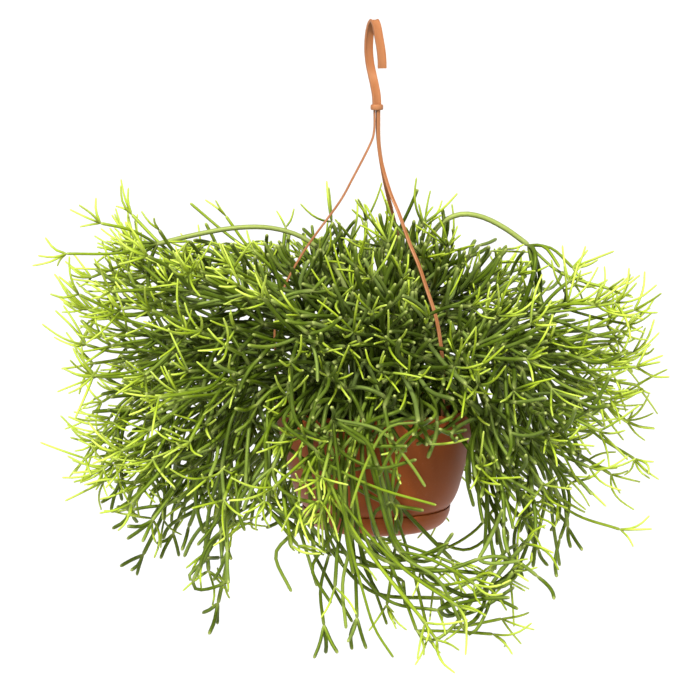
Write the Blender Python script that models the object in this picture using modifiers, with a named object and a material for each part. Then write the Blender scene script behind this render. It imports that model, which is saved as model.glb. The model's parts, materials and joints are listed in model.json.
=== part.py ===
"""A hanging pot of pencil-stemmed rhipsalis.

A turned plastic pot with a clip-on saucer hangs from three straps and a flat hook. Its soil holds forty
cuttings, each a jointed stem that arches out of the pot and branches in whorls.

Every piece is modelled round the pot's own axis, with z = 0 at the top of its rim, and hangs under one empty
that puts the origin where the hook's saddle rests on what carries it. -Y is the front.
"""

import math
import random

import bmesh
import bpy
from mathutils import Matrix, Vector

MM = 0.001
GAP = 0.3 * MM

# The hook's saddle, measured from the pot's axis at the top of its rim
SADDLE = Vector((-2.1, 4.0, 284.5)) * MM

# Pot
STEPS = 28
WALL = 1.7 * MM
POT_OUTSIDE = [(75.8, -0.6), (75.7, -2.0), (74.4, -16.0), (67.6, -43.5), (62.8, -62.0), (59.2, -71.0)]
POT_TURN = [(56.5, -75.0), (53.0, -79.0), (49.0, -82.4), (45.0, -84.6)]
FOOT_RING = (40.0 * MM, 42.0 * MM)
FLOOR_UNDER = -85.2 * MM
FOOT_Z = -91.2 * MM
BEAD = 0.6 * MM
DRAINS = 6
DRAIN_RADIUS = 3.0 * MM
DRAIN_CIRCLE = 27.0 * MM

# Lugs inside the rim, one for each strap
STRAP_TURNS = {"left": 191.0, "front": -48.0, "back": 66.0}
LUG_WIDTH = 10.0 * MM
LUG_INNER = 68.4 * MM
LUG_TOP = -2.0 * MM
LUG_UNDER = -9.0 * MM
SLOT_INNER = 69.9 * MM
SLOT_OUTER = 72.5 * MM

# Saucer
SAUCER_OUTSIDE = [(56.0, -77.4), (55.3, -82.0), (53.0, -87.0), (49.5, -90.7), (44.5, -92.7), (41.0, -93.0)]
SAUCER_INSIDE = [(43.8, -91.5), (48.6, -89.6), (51.7, -86.2), (53.8, -81.6), (54.5, -77.4)]
CLIP_RING = (42.9 * MM, 44.1 * MM)
CLIP_TOP = -87.6 * MM

# Soil
SOIL_TOP = [(30.0, -8.7), (55.0, -11.2), (70.6, -14.0)]
SOIL_CROWN = -8.0 * MM
HOLE_SIDES = 5
HOLE_BOTTOM = -34.0 * MM
ROOT_Z = HOLE_BOTTOM + GAP

# Hook: the strip's middle line, as (out along the hook, up from the saddle), foot to tip
HOOK_TURN = -62.0
HOOK_LINE = [
    (4.5, -62.0), (3.6, -54.0), (0.6, -46.0), (-3.2, -38.0), (-6.6, -30.0), (-8.4, -21.0), (-7.7, -11.0),
    (-4.8, -2.6), (0.0, 1.25), (3.9, -2.4), (7.2, -10.5), (10.6, -20.0), (12.2, -27.5), (12.4, -33.5),
]
HOOK_WIDTH = 6.6 * MM
WEB = 1.4 * MM
RAIL = 2.5 * MM
RAIL_WIDTH = 0.9 * MM
LEDGE = (9.8 * MM, 8.4 * MM, 4.2 * MM)
LEDGE_Z = -64.5 * MM
SOCKET_RADIUS = 3.3 * MM
SOCKET_DEPTH = 3.2 * MM

# Straps: how far each one stands from the axis, by the share of the way down from the ledge to the rim
STRAP_WIDTH = 3.0 * MM
STRAP_THICK = 1.3 * MM
STRAP_IN = 1.85
BOWS = {
    "left": [(0.0, STRAP_IN), (0.07, 2.1), (0.12, 5.6), (0.23, 18.4), (0.31, 28.5), (0.43, 48.5), (0.5, 59.0),
             (0.57, 67.6), (0.64, 73.6), (0.74, 77.4), (0.86, 75.9), (0.94, 72.6), (0.98, 71.55), (1.0, 71.55)],
    "front": [(0.0, STRAP_IN), (0.1, 2.1), (0.17, 4.8), (0.27, 14.3), (0.34, 24.0), (0.44, 36.0), (0.51, 45.8),
              (0.6, 56.0), (0.67, 63.6), (0.74, 68.2), (0.83, 71.4), (0.92, 72.2), (0.98, 71.55), (1.0, 71.55)],
    "back": [(0.0, STRAP_IN), (0.08, 2.2), (0.15, 6.0), (0.25, 15.6), (0.34, 27.0), (0.44, 40.0), (0.52, 50.6),
             (0.61, 60.4), (0.68, 66.4), (0.76, 70.6), (0.86, 72.8), (0.93, 72.4), (0.98, 71.55), (1.0, 71.55)],
}
STRAP_FOOT = -11.4 * MM
NIB = 1.3 * MM

# Foliage: cuttings stand in a sunflower pattern, and the further out one stands, the lower its head reaches
SEED = 25
CUTTINGS = 35
GOLDEN_TURN = 137.508
ROOT_CIRCLE = 59.0 * MM
HEAD_TOP = 78.0
HEAD_LOW = -58.0
# Every third cutting is short and fills the middle
DEPTHS = [1.0, 1.0, 0.74]
# A head's first whorl: its elevation from the middle of the rim, by the head's elevation, and its share of the reach
WHORL_RISE = [(-75, 5), (-45, 9), (-15, 17), (15, 32), (45, 50), (80, 76)]
WHORL_SHARE = 0.47
# Cuttings set by eye: name, azimuth, head's azimuth and elevation, root's circle, first whorl (out, up), height of
# arch, and the elevation at which the stem comes in to the whorl
PLACED = [
    ("front_trailing_1", -118.0, (-98.0, -60.0), 63.0, (90.0, 12.0), 20.0, -60.0),
    ("front_trailing_2", -104.0, (-80.0, -66.0), 55.0, (88.0, 15.0), 24.0, -66.0),
    ("front_trailing_3", -90.0, (-62.0, -64.0), 63.0, (90.0, 11.0), 20.0, -64.0),
    ("arching_left", 179.0, (176.0, 20.0), 9.0, (164.0, 120.0), 167.0, -14.0),
    ("arching_right", -3.0, (-6.0, 22.0), 20.0, (113.0, 120.0), 178.0, -38.0),
]
# How far the stems reach from the middle of the rim in four directions, by elevation
REACH = {
    "right": [(-90, 150), (-60, 192), (-45, 216), (-30, 236), (-15, 221), (15, 222), (28, 230), (38, 196),
              (60, 158), (90, 158)],
    "back": [(-90, 150), (-60, 185), (-40, 196), (-10, 206), (20, 208), (45, 176), (65, 158), (90, 156)],
    "left": [(-90, 150), (-62, 200), (-48, 236), (-30, 240), (-15, 258), (0, 266), (15, 274), (30, 284),
             (43, 246), (54, 178), (70, 164), (90, 160)],
    "front": [(-90, 165), (-72, 217), (-62, 213), (-45, 198), (-20, 186), (0, 188), (30, 184), (60, 164),
              (90, 160)],
}
# Seen from the front and a little above, these windows in the foliage stay open: (left, right), (low, high) in the
# plane through the view's middle, and whether stems behind the pot's axis may still cross them
EYE = Vector((-21.4, -1980.5, 320.3)) * MM
VIEW_MIDDLE = Vector((-21.4, 0.0, 42.0)) * MM
WINDOWS = [
    ((-86.0, -46.0), (-194.0, -138.0), False), ((77.0, 98.0), (-158.0, -107.0), False),
    ((41.0, 90.0), (-142.0, -73.0), True), ((58.0, 158.0), (82.0, 400.0), False),
    ((-160.0, -36.0), (112.0, 400.0), False),
]
SHARE = [0.0, 0.66, 0.86, 1.0]
SPREAD = [0.0, 50.0, 46.0, 44.0]
BRANCHES = [(3, 3), (1, 2), (2, 3)]
RADII = [1.8 * MM, 1.6 * MM, 1.35 * MM, 1.1 * MM]
TIP_LENGTH = (15.0 * MM, 27.0 * MM)
# Whorls of young tips: few near the pot, and on every stem past the second distance
YOUNG = (135.0 * MM, 205.0 * MM)
YOUNG_LEAST = 0.22
CLEAR = 0.5 * MM
JOINT_ROOM = 7 * MM
STRAP_ROOM = 1.8 * MM
LEADER_LEAN = 0.6
AIMED = 0.8
AIM_PULL = [0.0, 95.0 * MM, 60.0 * MM, 0.0]
SIDE_PULL = [0.0, 62.0 * MM, 54.0 * MM, 0.0]
SPANS = [5, 2, 2, 1]
# The two arching stems are long, and their ends branch straight into side stems of the second kind
ARCH_SPANS = 8
ARCH_BRANCHES = 4
ROOT_BACK = 1.6 * MM
ROOT_NECK = 0.65
TIP_TAPER = 0.85
SIDE_FACTOR = {3: 1.24, 4: 1.1}
STOUT = 1.24

TERRACOTTA = (0.242, 0.061, 0.019)
PEACH = (0.72, 0.29, 0.14)
PEAT = (0.035, 0.022, 0.014)
GREENS = [(0.17, 0.30, 0.045), (0.22, 0.38, 0.05), (0.13, 0.24, 0.045)]


def material(name, colour, roughness):
    made = bpy.data.materials.new(name)
    made.use_nodes = True
    shader = made.node_tree.nodes["Principled BSDF"]
    shader.inputs["Base Color"].default_value = (*colour, 1.0)
    shader.inputs["Roughness"].default_value = roughness
    return made


def collection(name):
    made = bpy.data.collections.new(name)
    bpy.context.scene.collection.children.link(made)
    return made


def add_object(name, data, into, finish=None):
    made = bpy.data.objects.new(name, data)
    into.objects.link(made)
    if finish:
        data.materials.append(finish)
    return made


def baked(source):
    """The object's mesh with its modifiers applied and its caps welded."""
    depsgraph = bpy.context.evaluated_depsgraph_get()
    mesh = bpy.data.meshes.new_from_object(source.evaluated_get(depsgraph))
    shape = bmesh.new()
    shape.from_mesh(mesh)
    bmesh.ops.remove_doubles(shape, verts=shape.verts, dist=0.000002)
    shape.to_mesh(mesh)
    shape.free()
    return mesh


def to_meshes(sources):
    """Replaces curves by the meshes that they make."""
    bpy.context.view_layer.update()
    meshes = [(source, baked(source)) for source in sources]
    made = []
    for source, mesh in meshes:
        solid = bpy.data.objects.new(source.name + "_solid", mesh)
        solid.matrix_world = source.matrix_world
        for holder in source.users_collection:
            holder.objects.link(solid)
        made.append(solid)
    for source, _ in meshes:
        bpy.data.objects.remove(source)
    return made


def turned(name, profile, into, finish):
    """Turns a profile of (radius, height) round the axis. It runs down the outer side."""
    mesh = bpy.data.meshes.new(name)
    shape = bmesh.new()
    points = [shape.verts.new((radius, 0.0, height)) for radius, height in profile]
    for first, second in zip(points, points[1:]):
        shape.edges.new((first, second))
    if profile[0][0] > 0:
        shape.edges.new((points[-1], points[0]))
    shape.to_mesh(mesh)
    shape.free()
    made = add_object(name, mesh, into, finish)
    screw = made.modifiers.new("turn", "SCREW")
    screw.steps = STEPS
    screw.render_steps = STEPS
    screw.use_merge_vertices = True
    screw.merge_threshold = 0.00001
    mesh.shade_smooth()
    return made


def box(name, size, centre, turn, into):
    """A box of a size, moved out to a centre and turned about the pot's axis."""
    mesh = bpy.data.meshes.new(name)
    shape = bmesh.new()
    bmesh.ops.create_cube(shape, size=1.0)
    bmesh.ops.scale(shape, vec=size, verts=shape.verts)
    bmesh.ops.translate(shape, vec=centre, verts=shape.verts)
    bmesh.ops.rotate(shape, cent=(0, 0, 0), matrix=Matrix.Rotation(turn, 3, "Z"), verts=shape.verts)
    shape.to_mesh(mesh)
    shape.free()
    return add_object(name, mesh, into)


def rod(name, radius, bottom, top, place, sides, into):
    mesh = bpy.data.meshes.new(name)
    shape = bmesh.new()
    at = Matrix.Translation((place[0], place[1], (bottom + top) / 2))
    bmesh.ops.create_cone(
        shape, cap_ends=True, segments=sides, radius1=radius, radius2=radius, depth=top - bottom, matrix=at
    )
    shape.to_mesh(mesh)
    shape.free()
    return add_object(name, mesh, into)


def hidden(cutter):
    cutter.hide_render = True
    cutter.display_type = "WIRE"
    return cutter


def boolean(piece, operation, others):
    """Joins or cuts a piece with every object of a collection."""
    step = piece.modifiers.new(operation.lower(), "BOOLEAN")
    step.operation = operation
    step.operand_type = "COLLECTION"
    step.collection = others


def outline(name, points, width, into, finish=None):
    """A closed flat outline of (out, up), as thick as the width. It stands up, facing along its own Y."""
    curve = bpy.data.curves.new(name, "CURVE")
    curve.dimensions = "2D"
    curve.fill_mode = "BOTH"
    curve.extrude = width / 2
    spline = curve.splines.new("POLY")
    spline.points.add(len(points) - 1)
    for point, (out, up) in zip(spline.points, points):
        point.co = (out, up, 0.0, 1.0)
    spline.use_cyclic_u = True
    made = add_object(name, curve, into, finish)
    made.rotation_euler.x = math.radians(90)
    return made


def smooth_line(points, parts):
    """Points along a smooth curve through the given (out, up) points."""
    ends = [Vector(points[0]) * 2 - Vector(points[1]), *map(Vector, points)]
    ends.append(Vector(points[-1]) * 2 - Vector(points[-2]))
    line = []
    for before, start, end, after in zip(ends, ends[1:], ends[2:], ends[3:]):
        for step in range(parts):
            t = step / parts
            line.append(
                0.5 * (2 * start + (end - before) * t + (2 * before - 5 * start + 4 * end - after) * t**2
                       + (3 * start - before - 3 * end + after) * t**3)
            )
    return [*line, Vector(points[-1])]


def thickened(line, thickness):
    """The closed outline of a strip of a thickness that follows a line of (out, up)."""
    sides = ([], [])
    for i, point in enumerate(line):
        along = (line[min(i + 1, len(line) - 1)] - line[max(i - 1, 0)]).normalized()
        across = Vector((-along.y, along.x)) * thickness / 2
        sides[0].append(point + across)
        sides[1].append(point - across)
    return sides[0] + sides[1][::-1]


def between(table, x):
    """Reads a value from a table of (x, value) pairs, straight between its rows."""
    for (x0, y0), (x1, y1) in zip(table, table[1:]):
        if x <= x1:
            return y0 + (y1 - y0) * max(0.0, (x - x0) / (x1 - x0))
    return table[-1][1]


# Pot, saucer and soil


def pot_wall():
    return [(r * MM, z * MM) for r, z in POT_OUTSIDE]


def inner_wall(clearance=0.0):
    """The inside of the pot's wall from the rim down to its floor."""
    line = [(r - WALL - clearance, z) for r, z in pot_wall()]
    line += [((r - 1.5) * MM - clearance, (z + 1.3) * MM) for r, z in POT_TURN]
    return line


def add_pot(parts, cutters, joined, finish):
    inner = inner_wall()
    ring_in, ring_out = FOOT_RING
    profile = [(0.0, inner[-1][1]), *inner[::-1][:-1], (inner[0][0], -0.6 * MM), (inner[0][0] + 0.5 * MM, 0.0)]
    profile += [(75.2 * MM, 0.0), *pot_wall(), *((r * MM, z * MM) for r, z in POT_TURN)]
    profile += [(ring_out, FLOOR_UNDER), (ring_out, FOOT_Z + 1.9 * MM), (ring_out + BEAD, FOOT_Z + 1.4 * MM)]
    profile += [(ring_out + BEAD, FOOT_Z + 0.9 * MM), (ring_out, FOOT_Z), (ring_in, FOOT_Z)]
    profile += [(ring_in, FLOOR_UNDER), (0.0, FLOOR_UNDER)]
    pot = turned("pot", profile, parts, finish)
    size = (SLOT_OUTER + 1.9 * MM - LUG_INNER, LUG_WIDTH, LUG_TOP - LUG_UNDER)
    for name, turn in STRAP_TURNS.items():
        turn = math.radians(turn)
        centre = (LUG_INNER + size[0] / 2, 0, (LUG_TOP + LUG_UNDER) / 2)
        box("lug_" + name, size, centre, turn, joined)
        slot = (SLOT_OUTER - SLOT_INNER, STRAP_WIDTH + 2 * GAP, size[2] + 4 * MM)
        centre = ((SLOT_INNER + SLOT_OUTER) / 2, 0, centre[2])
        hidden(box("slot_" + name, slot, centre, turn, cutters))
    for i in range(DRAINS):
        turn = math.tau * i / DRAINS
        place = (DRAIN_CIRCLE * math.cos(turn), DRAIN_CIRCLE * math.sin(turn))
        hidden(rod(f"drain_{i}", DRAIN_RADIUS, FLOOR_UNDER - MM, FLOOR_UNDER + 4 * MM, place, 8, cutters))
    boolean(pot, "UNION", joined)
    boolean(pot, "DIFFERENCE", cutters)
    return pot


def add_saucer(parts, finish):
    """The saucer's floor ring has a bead that snaps over the bead on the pot's foot ring."""
    ring_in, ring_out = CLIP_RING
    floor = SAUCER_INSIDE[0][1] * MM
    bead = ring_in - BEAD
    profile = [(0.0, floor), (ring_in, floor), (ring_in, CLIP_TOP - 1.4 * MM), (bead, CLIP_TOP - 0.9 * MM)]
    profile += [(bead, CLIP_TOP - 0.4 * MM), (ring_in, CLIP_TOP), (ring_out, CLIP_TOP), (ring_out, floor)]
    profile += [((r + 0.6) * MM, z * MM) for r, z in SAUCER_INSIDE]
    profile += [(55.6 * MM, -77.0 * MM), *((r * MM, z * MM) for r, z in SAUCER_OUTSIDE)]
    profile += [(0.0, SAUCER_OUTSIDE[-1][1] * MM)]
    return turned("saucer", profile, parts, finish)


def add_soil(parts, holes, finish):
    wall = [point for point in inner_wall(GAP) if point[1] < SOIL_TOP[-1][1] * MM]
    profile = [(0.0, SOIL_CROWN), *((r * MM, z * MM) for r, z in SOIL_TOP), *wall]
    profile += [(0.0, wall[-1][1])]
    profile = [(r, z + (GAP if i >= len(profile) - 2 else 0.0)) for i, (r, z) in enumerate(profile)]
    soil = turned("soil", profile, parts, finish)
    boolean(soil, "DIFFERENCE", holes)
    return soil


# Hook and straps


def add_hook(parts, joined, sockets, finish):
    """The strip is a thin web with a raised rail along each edge, and stands on its ledge."""
    line = [point * MM for point in smooth_line(HOOK_LINE, 2)]
    turn = math.radians(HOOK_TURN)
    facing = Matrix.Translation(SADDLE) @ Matrix.Rotation(turn, 4, "Z")
    web = outline("hook", thickened(line, WEB), HOOK_WIDTH, parts, finish)
    web.matrix_world = facing @ Matrix.Rotation(math.radians(90), 4, "X")
    line[0] = line[0].lerp(line[1], 0.1)
    line[-1] = line[-1].lerp(line[-2], 0.1)
    for side in (-1, 1):
        rail = outline("rail", thickened(line, RAIL), RAIL_WIDTH, joined)
        shift = Vector((0, side * (HOOK_WIDTH - RAIL_WIDTH + 0.2 * MM) / 2, 0))
        rail.matrix_world = facing @ Matrix.Translation(shift) @ Matrix.Rotation(math.radians(90), 4, "X")
    hook = to_meshes([web, *joined.objects])[0]
    hook.name = "hook"
    long, deep, high = LEDGE
    ledge = rod("ledge", 0.5, 0.0, 1.0, (0, 0), 20, joined)
    ledge.matrix_world = (
        Matrix.Translation((0, 0, SADDLE.z + LEDGE_Z)) @ Matrix.Rotation(turn + math.pi / 2, 4, "Z")
        @ Matrix.Diagonal((long, deep, high, 1.0))
    )
    under = SADDLE.z + LEDGE_Z
    hidden(rod("socket", SOCKET_RADIUS, under - MM, under + SOCKET_DEPTH, (0, 0), 16, sockets))
    boolean(hook, "UNION", joined)
    boolean(hook, "DIFFERENCE", sockets)
    return hook


def strap_line(name):
    """The strap's middle line, (out, up) from the pot's rim, from the ledge down to the lug."""
    top = SADDLE.z + LEDGE_Z
    rows = [(out, (top - share * top) / MM) for share, out in BOWS[name]]
    return [point * MM for point in smooth_line(rows, 2)]


def add_strap(name, parts, finish):
    line = strap_line(name)
    head = Vector((STRAP_IN * MM, SADDLE.z + LEDGE_Z + SOCKET_DEPTH - GAP))
    foot = line[-1].x
    sides = thickened([head, *line], STRAP_THICK)
    half = len(sides) // 2
    inner, outer = foot - STRAP_THICK / 2, foot + STRAP_THICK / 2
    catch = LUG_UNDER - GAP
    toe = [(outer, STRAP_FOOT), (inner, STRAP_FOOT), (inner - NIB, catch - 0.7 * MM), (inner - NIB, catch)]
    points = [*sides[:half], *toe, (inner, catch), *sides[half:]]
    strap = outline("strap_" + name, points, STRAP_WIDTH, parts, finish)
    strap.rotation_euler.z = math.radians(STRAP_TURNS[name])
    return strap


# Foliage


class Room:
    """The places already taken, as balls along every stem, kept in a grid of cells."""

    CELL = 8 * MM
    STEP = 3 * MM

    def __init__(self):
        self.cells = {}

    @classmethod
    def balls(cls, path):
        """Points along a path, no further apart than STEP."""
        found = [path[0]]
        for start, end in zip(path, path[1:]):
            parts = max(1, math.ceil((end - start).length / cls.STEP))
            found += [start.lerp(end, i / parts) for i in range(1, parts + 1)]
        return found

    def take(self, path, radius, is_strap=False):
        for ball in self.balls(path):
            key = tuple(math.floor(x / self.CELL) for x in ball)
            self.cells.setdefault(key, []).append((ball, radius, is_strap))

    def is_free(self, path, radius, joint=None, joint_radius=0.0):
        """Whether a path clears every strap, and every stem but those round the joint that it grows from."""
        for ball in self.balls(path):
            at_joint = joint is not None and (ball - joint).length < joint_radius
            x, y, z = (math.floor(v / self.CELL) for v in ball)
            for key in ((x + i, y + j, z + k) for i in (-1, 0, 1) for j in (-1, 0, 1) for k in (-1, 0, 1)):
                for other, other_radius, is_strap in self.cells.get(key, ()):
                    near = at_joint or joint is not None and (other - joint).length < joint_radius
                    if near and not is_strap:
                        continue
                    least = radius + other_radius + CLEAR
                    if (ball - other).length_squared < least**2 + self.STEP**2 / 2:
                        return False
        return True


def in_direction(azimuth, elevation):
    a, e = math.radians(azimuth), math.radians(elevation)
    return Vector((math.cos(e) * math.cos(a), math.cos(e) * math.sin(a), math.sin(e)))


def reach(way):
    """How far the foliage reaches from the middle of the rim, in a direction."""
    elevation = math.degrees(math.asin(max(-1.0, min(1.0, way.z))))
    flat = math.hypot(way.x, way.y) + 1e-9
    side = between(REACH["right" if way.x > 0 else "left"], elevation)
    face = between(REACH["back" if way.y > 0 else "front"], elevation)
    share = (way.x / flat) ** 2
    return (side * share + face * (1 - share)) * MM


def in_window(point):
    """Whether a point is seen in one of the windows that stay open."""
    ahead = (VIEW_MIDDLE - EYE).normalized()
    up = Vector((0.0, -ahead.z, ahead.y))
    away = point - EYE
    seen = away * ((VIEW_MIDDLE - EYE).length / away.dot(ahead) / MM)
    for (left, right), (low, high), only_front in WINDOWS:
        if left < seen.x < right and low < seen.dot(up) < high and not (only_front and point.y > 0):
            return True
    return False


def off_limits(path, radius):
    """Whether a path runs into the pot, the saucer, the free space below it or a window that stays open."""
    wall = [(z * MM, r * MM) for r, z in (*POT_OUTSIDE, *POT_TURN)][::-1]
    for point in path:
        out = math.hypot(point.x, point.y)
        if point.z < 2.4 * MM + radius and out < between(wall, point.z) + radius + 1.5 * MM:
            return True
        if point.z < -70 * MM and out < 58 * MM + radius:
            return True
    return any(in_window(point) for point in path)


def clear_of_pot(point):
    """Moves a low point out, to hang in front of the pot's wall."""
    out = math.hypot(point.x, point.y)
    least = 82 * MM
    if point.z > 0 or out > least:
        return point
    return Vector((point.x * least / out, point.y * least / out, point.z))


def bent(start, way, end, parts):
    """A curve from start to end that sets out along a way."""
    middle = start + way * (end - start).length * 0.5
    path = []
    for i in range(parts + 1):
        t = i / parts
        path.append(start * (1 - t) ** 2 + middle * 2 * t * (1 - t) + end * t**2)
    return path


class Shoot:
    """One length of stem between two joints. A leading shoot carries its parent's line on."""

    def __init__(self, path, level, parent=None, leads=False):
        self.path = path
        self.level = level
        self.parent = parent
        self.leads = leads


def grow(draw, room, joint, way, aim, depth, level, turned_by, leads):
    """The path of one shoot of a whorl, or None where it finds no room."""
    radius = RADII[level]
    side = way.orthogonal().normalized()
    across = way.cross(side)
    for trial in range(14):
        turn = turned_by + draw.uniform(-0.35, 0.35) * (1 + trial / 5)
        lean = math.radians(SPREAD[level] * draw.uniform(0.8, 1.3) * (LEADER_LEAN if leads else 1.0))
        out = (side * math.cos(turn) + across * math.sin(turn)) * math.sin(lean) + way * math.cos(lean)
        if level < 3:
            spot = (joint + out * SIDE_PULL[level] + aim * AIM_PULL[level]).normalized()
            end = clear_of_pot(spot * reach(spot) * SHARE[level] * depth * draw.uniform(0.9, 1.08))
            if (end - joint).length < 18 * MM:
                end = joint + (end - joint).normalized() * 18 * MM
        else:
            out = (out + joint.normalized() * 0.35).normalized()
            end = joint + out * draw.uniform(*TIP_LENGTH)
        path = bent(joint, out, end, SPANS[level])
        if off_limits(Room.balls(path), radius):
            continue
        if room.is_free(path, radius * STOUT, joint, JOINT_ROOM):
            return path
    return None


def stem_from_soil(draw, room, root, whorl, arch, way, spans):
    """The old stem of a cutting, from its hole up and over to its first whorl."""
    for trial in range(120):
        loose = min(1.0, trial / 60) * 14 * MM
        end = whorl + Vector([draw.uniform(-loose, loose) for _ in range(3)])
        foot = root + Vector([draw.uniform(-loose, loose) / 2 for _ in range(2)] + [0.0])
        rise = Vector((foot.x, foot.y, arch)) + Vector([draw.uniform(-loose, loose) for _ in range(3)])
        before = end - way * (end - foot).length * 0.35
        start = Vector((foot.x, foot.y, -6 * MM))
        path = [Vector((foot.x, foot.y, ROOT_Z))]
        for i in range(spans):
            t = i / (spans - 1)
            path.append(
                start * (1 - t) ** 3 + rise * 3 * t * (1 - t) ** 2 + before * 3 * t**2 * (1 - t) + end * t**3
            )
        over_rim = [p for p in Room.balls(path) if math.hypot(p.x, p.y) > 64 * MM]
        barred = spans == SPANS[0] and off_limits(over_rim, RADII[0])
        if not barred and room.is_free(path, RADII[0] * STOUT):
            return path
    return None


def planting():
    """Every cutting as (name, root, first whorl, height of arch, way in to the whorl, head's direction, depth)."""
    for name, azimuth, head, circle, (out, up), arch, fall in PLACED:
        flat = in_direction(azimuth, 0)
        whorl = flat * out * MM + Vector((0, 0, up * MM))
        yield name, flat * circle * MM, whorl, arch * MM, in_direction(head[0], fall), in_direction(*head), 1.0
    for i in range(CUTTINGS):
        share = (i + 0.5) / CUTTINGS
        azimuth = i * GOLDEN_TURN
        top, low = math.sin(math.radians(HEAD_TOP)), math.sin(math.radians(HEAD_LOW))
        elevation = math.degrees(math.asin(top + (low - top) * share))
        root = in_direction(azimuth, 0) * ROOT_CIRCLE * math.sqrt(share)
        way = in_direction(azimuth, between(WHORL_RISE, elevation))
        depth = DEPTHS[i % len(DEPTHS)]
        whorl = way * reach(way) * WHORL_SHARE * depth
        aim = in_direction(azimuth, elevation)
        yield f"cutting_{i + 1:02d}", root, whorl, whorl.z * 0.8 + 10 * MM, aim, aim, depth


def plant(seed):
    """Grows all cuttings together, level by level. Returns {name: [shoot, ...]}."""
    draw = random.Random(seed)
    room = Room()
    for name in BOWS:
        flat = in_direction(STRAP_TURNS[name], 0)
        path = [flat * p.x + Vector((0, 0, p.y)) for p in strap_line(name)]
        room.take([*path, path[-1] + Vector((0, 0, STRAP_FOOT))], STRAP_ROOM, is_strap=True)
    stems, heads = {}, []
    for name, root, whorl, arch, way, aim, depth in planting():
        spans = ARCH_SPANS if name.startswith("arching") else SPANS[0]
        path = stem_from_soil(draw, room, root, whorl, arch, way, spans)
        if path:
            room.take(path, RADII[0] * STOUT)
            stems[name] = [Shoot(path, 0)]
            heads.append((name, stems[name][0], aim, depth))
    for level in (1, 2, 3):
        grown = []
        for name, parent, aim, depth in heads:
            if level == 1 and len(parent.path) > ARCH_SPANS:
                grown.append((name, parent, aim, depth))
                continue
            joint = parent.path[-1]
            way = (joint - parent.path[-2]).normalized()
            way = (way + aim * (0.0 if parent.level else AIMED)).normalized()
            count = draw.randint(*BRANCHES[level - 1]) if level - parent.level == 1 else ARCH_BRANCHES
            young = (joint.length - YOUNG[0]) / (YOUNG[1] - YOUNG[0])
            if level == 3 and draw.random() > YOUNG_LEAST + (1 - YOUNG_LEAST) * young:
                continue
            start = draw.uniform(0, math.tau)
            leads = True
            for i in range(count):
                path = grow(draw, room, joint, way, aim, depth, level, start + math.tau * i / count, leads)
                if path:
                    shoot = Shoot(path, level, parent, leads)
                    leads = False
                    room.take(path, RADII[level] * STOUT)
                    stems[name].append(shoot)
                    grown.append((name, shoot, aim, depth))
        heads = grown
    return stems


def section(sides):
    """A stem's section: a few points round a circle of radius 1, clockwise, so that its skin faces out."""
    curve = bpy.data.curves.new(f"section_{sides}", "CURVE")
    spline = curve.splines.new("POLY")
    spline.points.add(sides - 1)
    for i, point in enumerate(spline.points):
        turn = -math.tau * i / sides
        point.co = (math.cos(turn), math.sin(turn), 0.0, 1.0)
    spline.use_cyclic_u = True
    return curve


def lines(shoots):
    """Joins each leading shoot to its parent: [[shoot, shoot, ...], ...], each list one unbroken line."""
    followers = {id(shoot.parent): shoot for shoot in shoots if shoot.leads}
    joined = []
    for shoot in shoots:
        if shoot.leads:
            continue
        line = [shoot]
        while id(line[-1]) in followers:
            line.append(followers[id(line[-1])])
        joined.append(line)
    return joined


def line_object(name, line, sections, into):
    """An unbroken line of shoots as one tube of few sides, sunk into the joint that it grows from."""
    sides = 4 if line[0].level == 0 else 3
    places = [(line[0].path[0], RADII[line[0].level])]
    for shoot in line:
        places += [(place, RADII[shoot.level]) for place in shoot.path[1:]]
    if line[0].parent:
        before, joint = line[0].parent.path[-2:]
        places[0] = (joint - (joint - before).normalized() * ROOT_BACK, places[0][1] * ROOT_NECK)
    places[-1] = (places[-1][0], places[-1][1] * TIP_TAPER)
    curve = bpy.data.curves.new(name, "CURVE")
    curve.dimensions = "3D"
    curve.bevel_mode = "OBJECT"
    curve.bevel_object = sections[sides]
    curve.use_fill_caps = True
    spline = curve.splines.new("POLY")
    spline.points.add(len(places) - 1)
    for point, (place, radius) in zip(spline.points, places):
        point.co = (*place, 1.0)
        point.radius = radius * SIDE_FACTOR[sides]
    return add_object(name, curve, into)


def without_scraps(mesh):
    """Keeps the largest body of a mesh, by its number of faces."""
    shape = bmesh.new()
    shape.from_mesh(mesh)
    left, bodies = set(shape.faces), []
    while left:
        body, edge = [], [left.pop()]
        while edge:
            face = edge.pop()
            body.append(face)
            beside = {other for side in face.edges for other in side.link_faces} & left
            left -= beside
            edge += beside
        bodies.append(body)
    bodies.sort(key=len)
    scraps = [face for body in bodies[:-1] for face in body]
    bmesh.ops.delete(shape, geom=scraps, context="FACES")
    shape.to_mesh(mesh)
    shape.free()
    return mesh


def add_spray(name, shoots, sections, parts, finish):
    """One cutting: its lines of shoots as tubes, joined into one body."""
    others = collection(name + "_lines")
    made = [line_object(f"{name}_{i}", line, sections, others) for i, line in enumerate(lines(shoots))]
    made = to_meshes(made)
    spray = add_object("spray_" + name, made[0].data, parts, finish)
    bpy.data.objects.remove(made[0])
    boolean(spray, "UNION", others)
    bpy.context.view_layer.update()
    mesh = without_scraps(baked(spray))
    spray.modifiers.clear()
    spray.data = mesh
    for line in made[1:]:
        bpy.data.objects.remove(line)
    bpy.data.collections.remove(others)
    return spray


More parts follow.
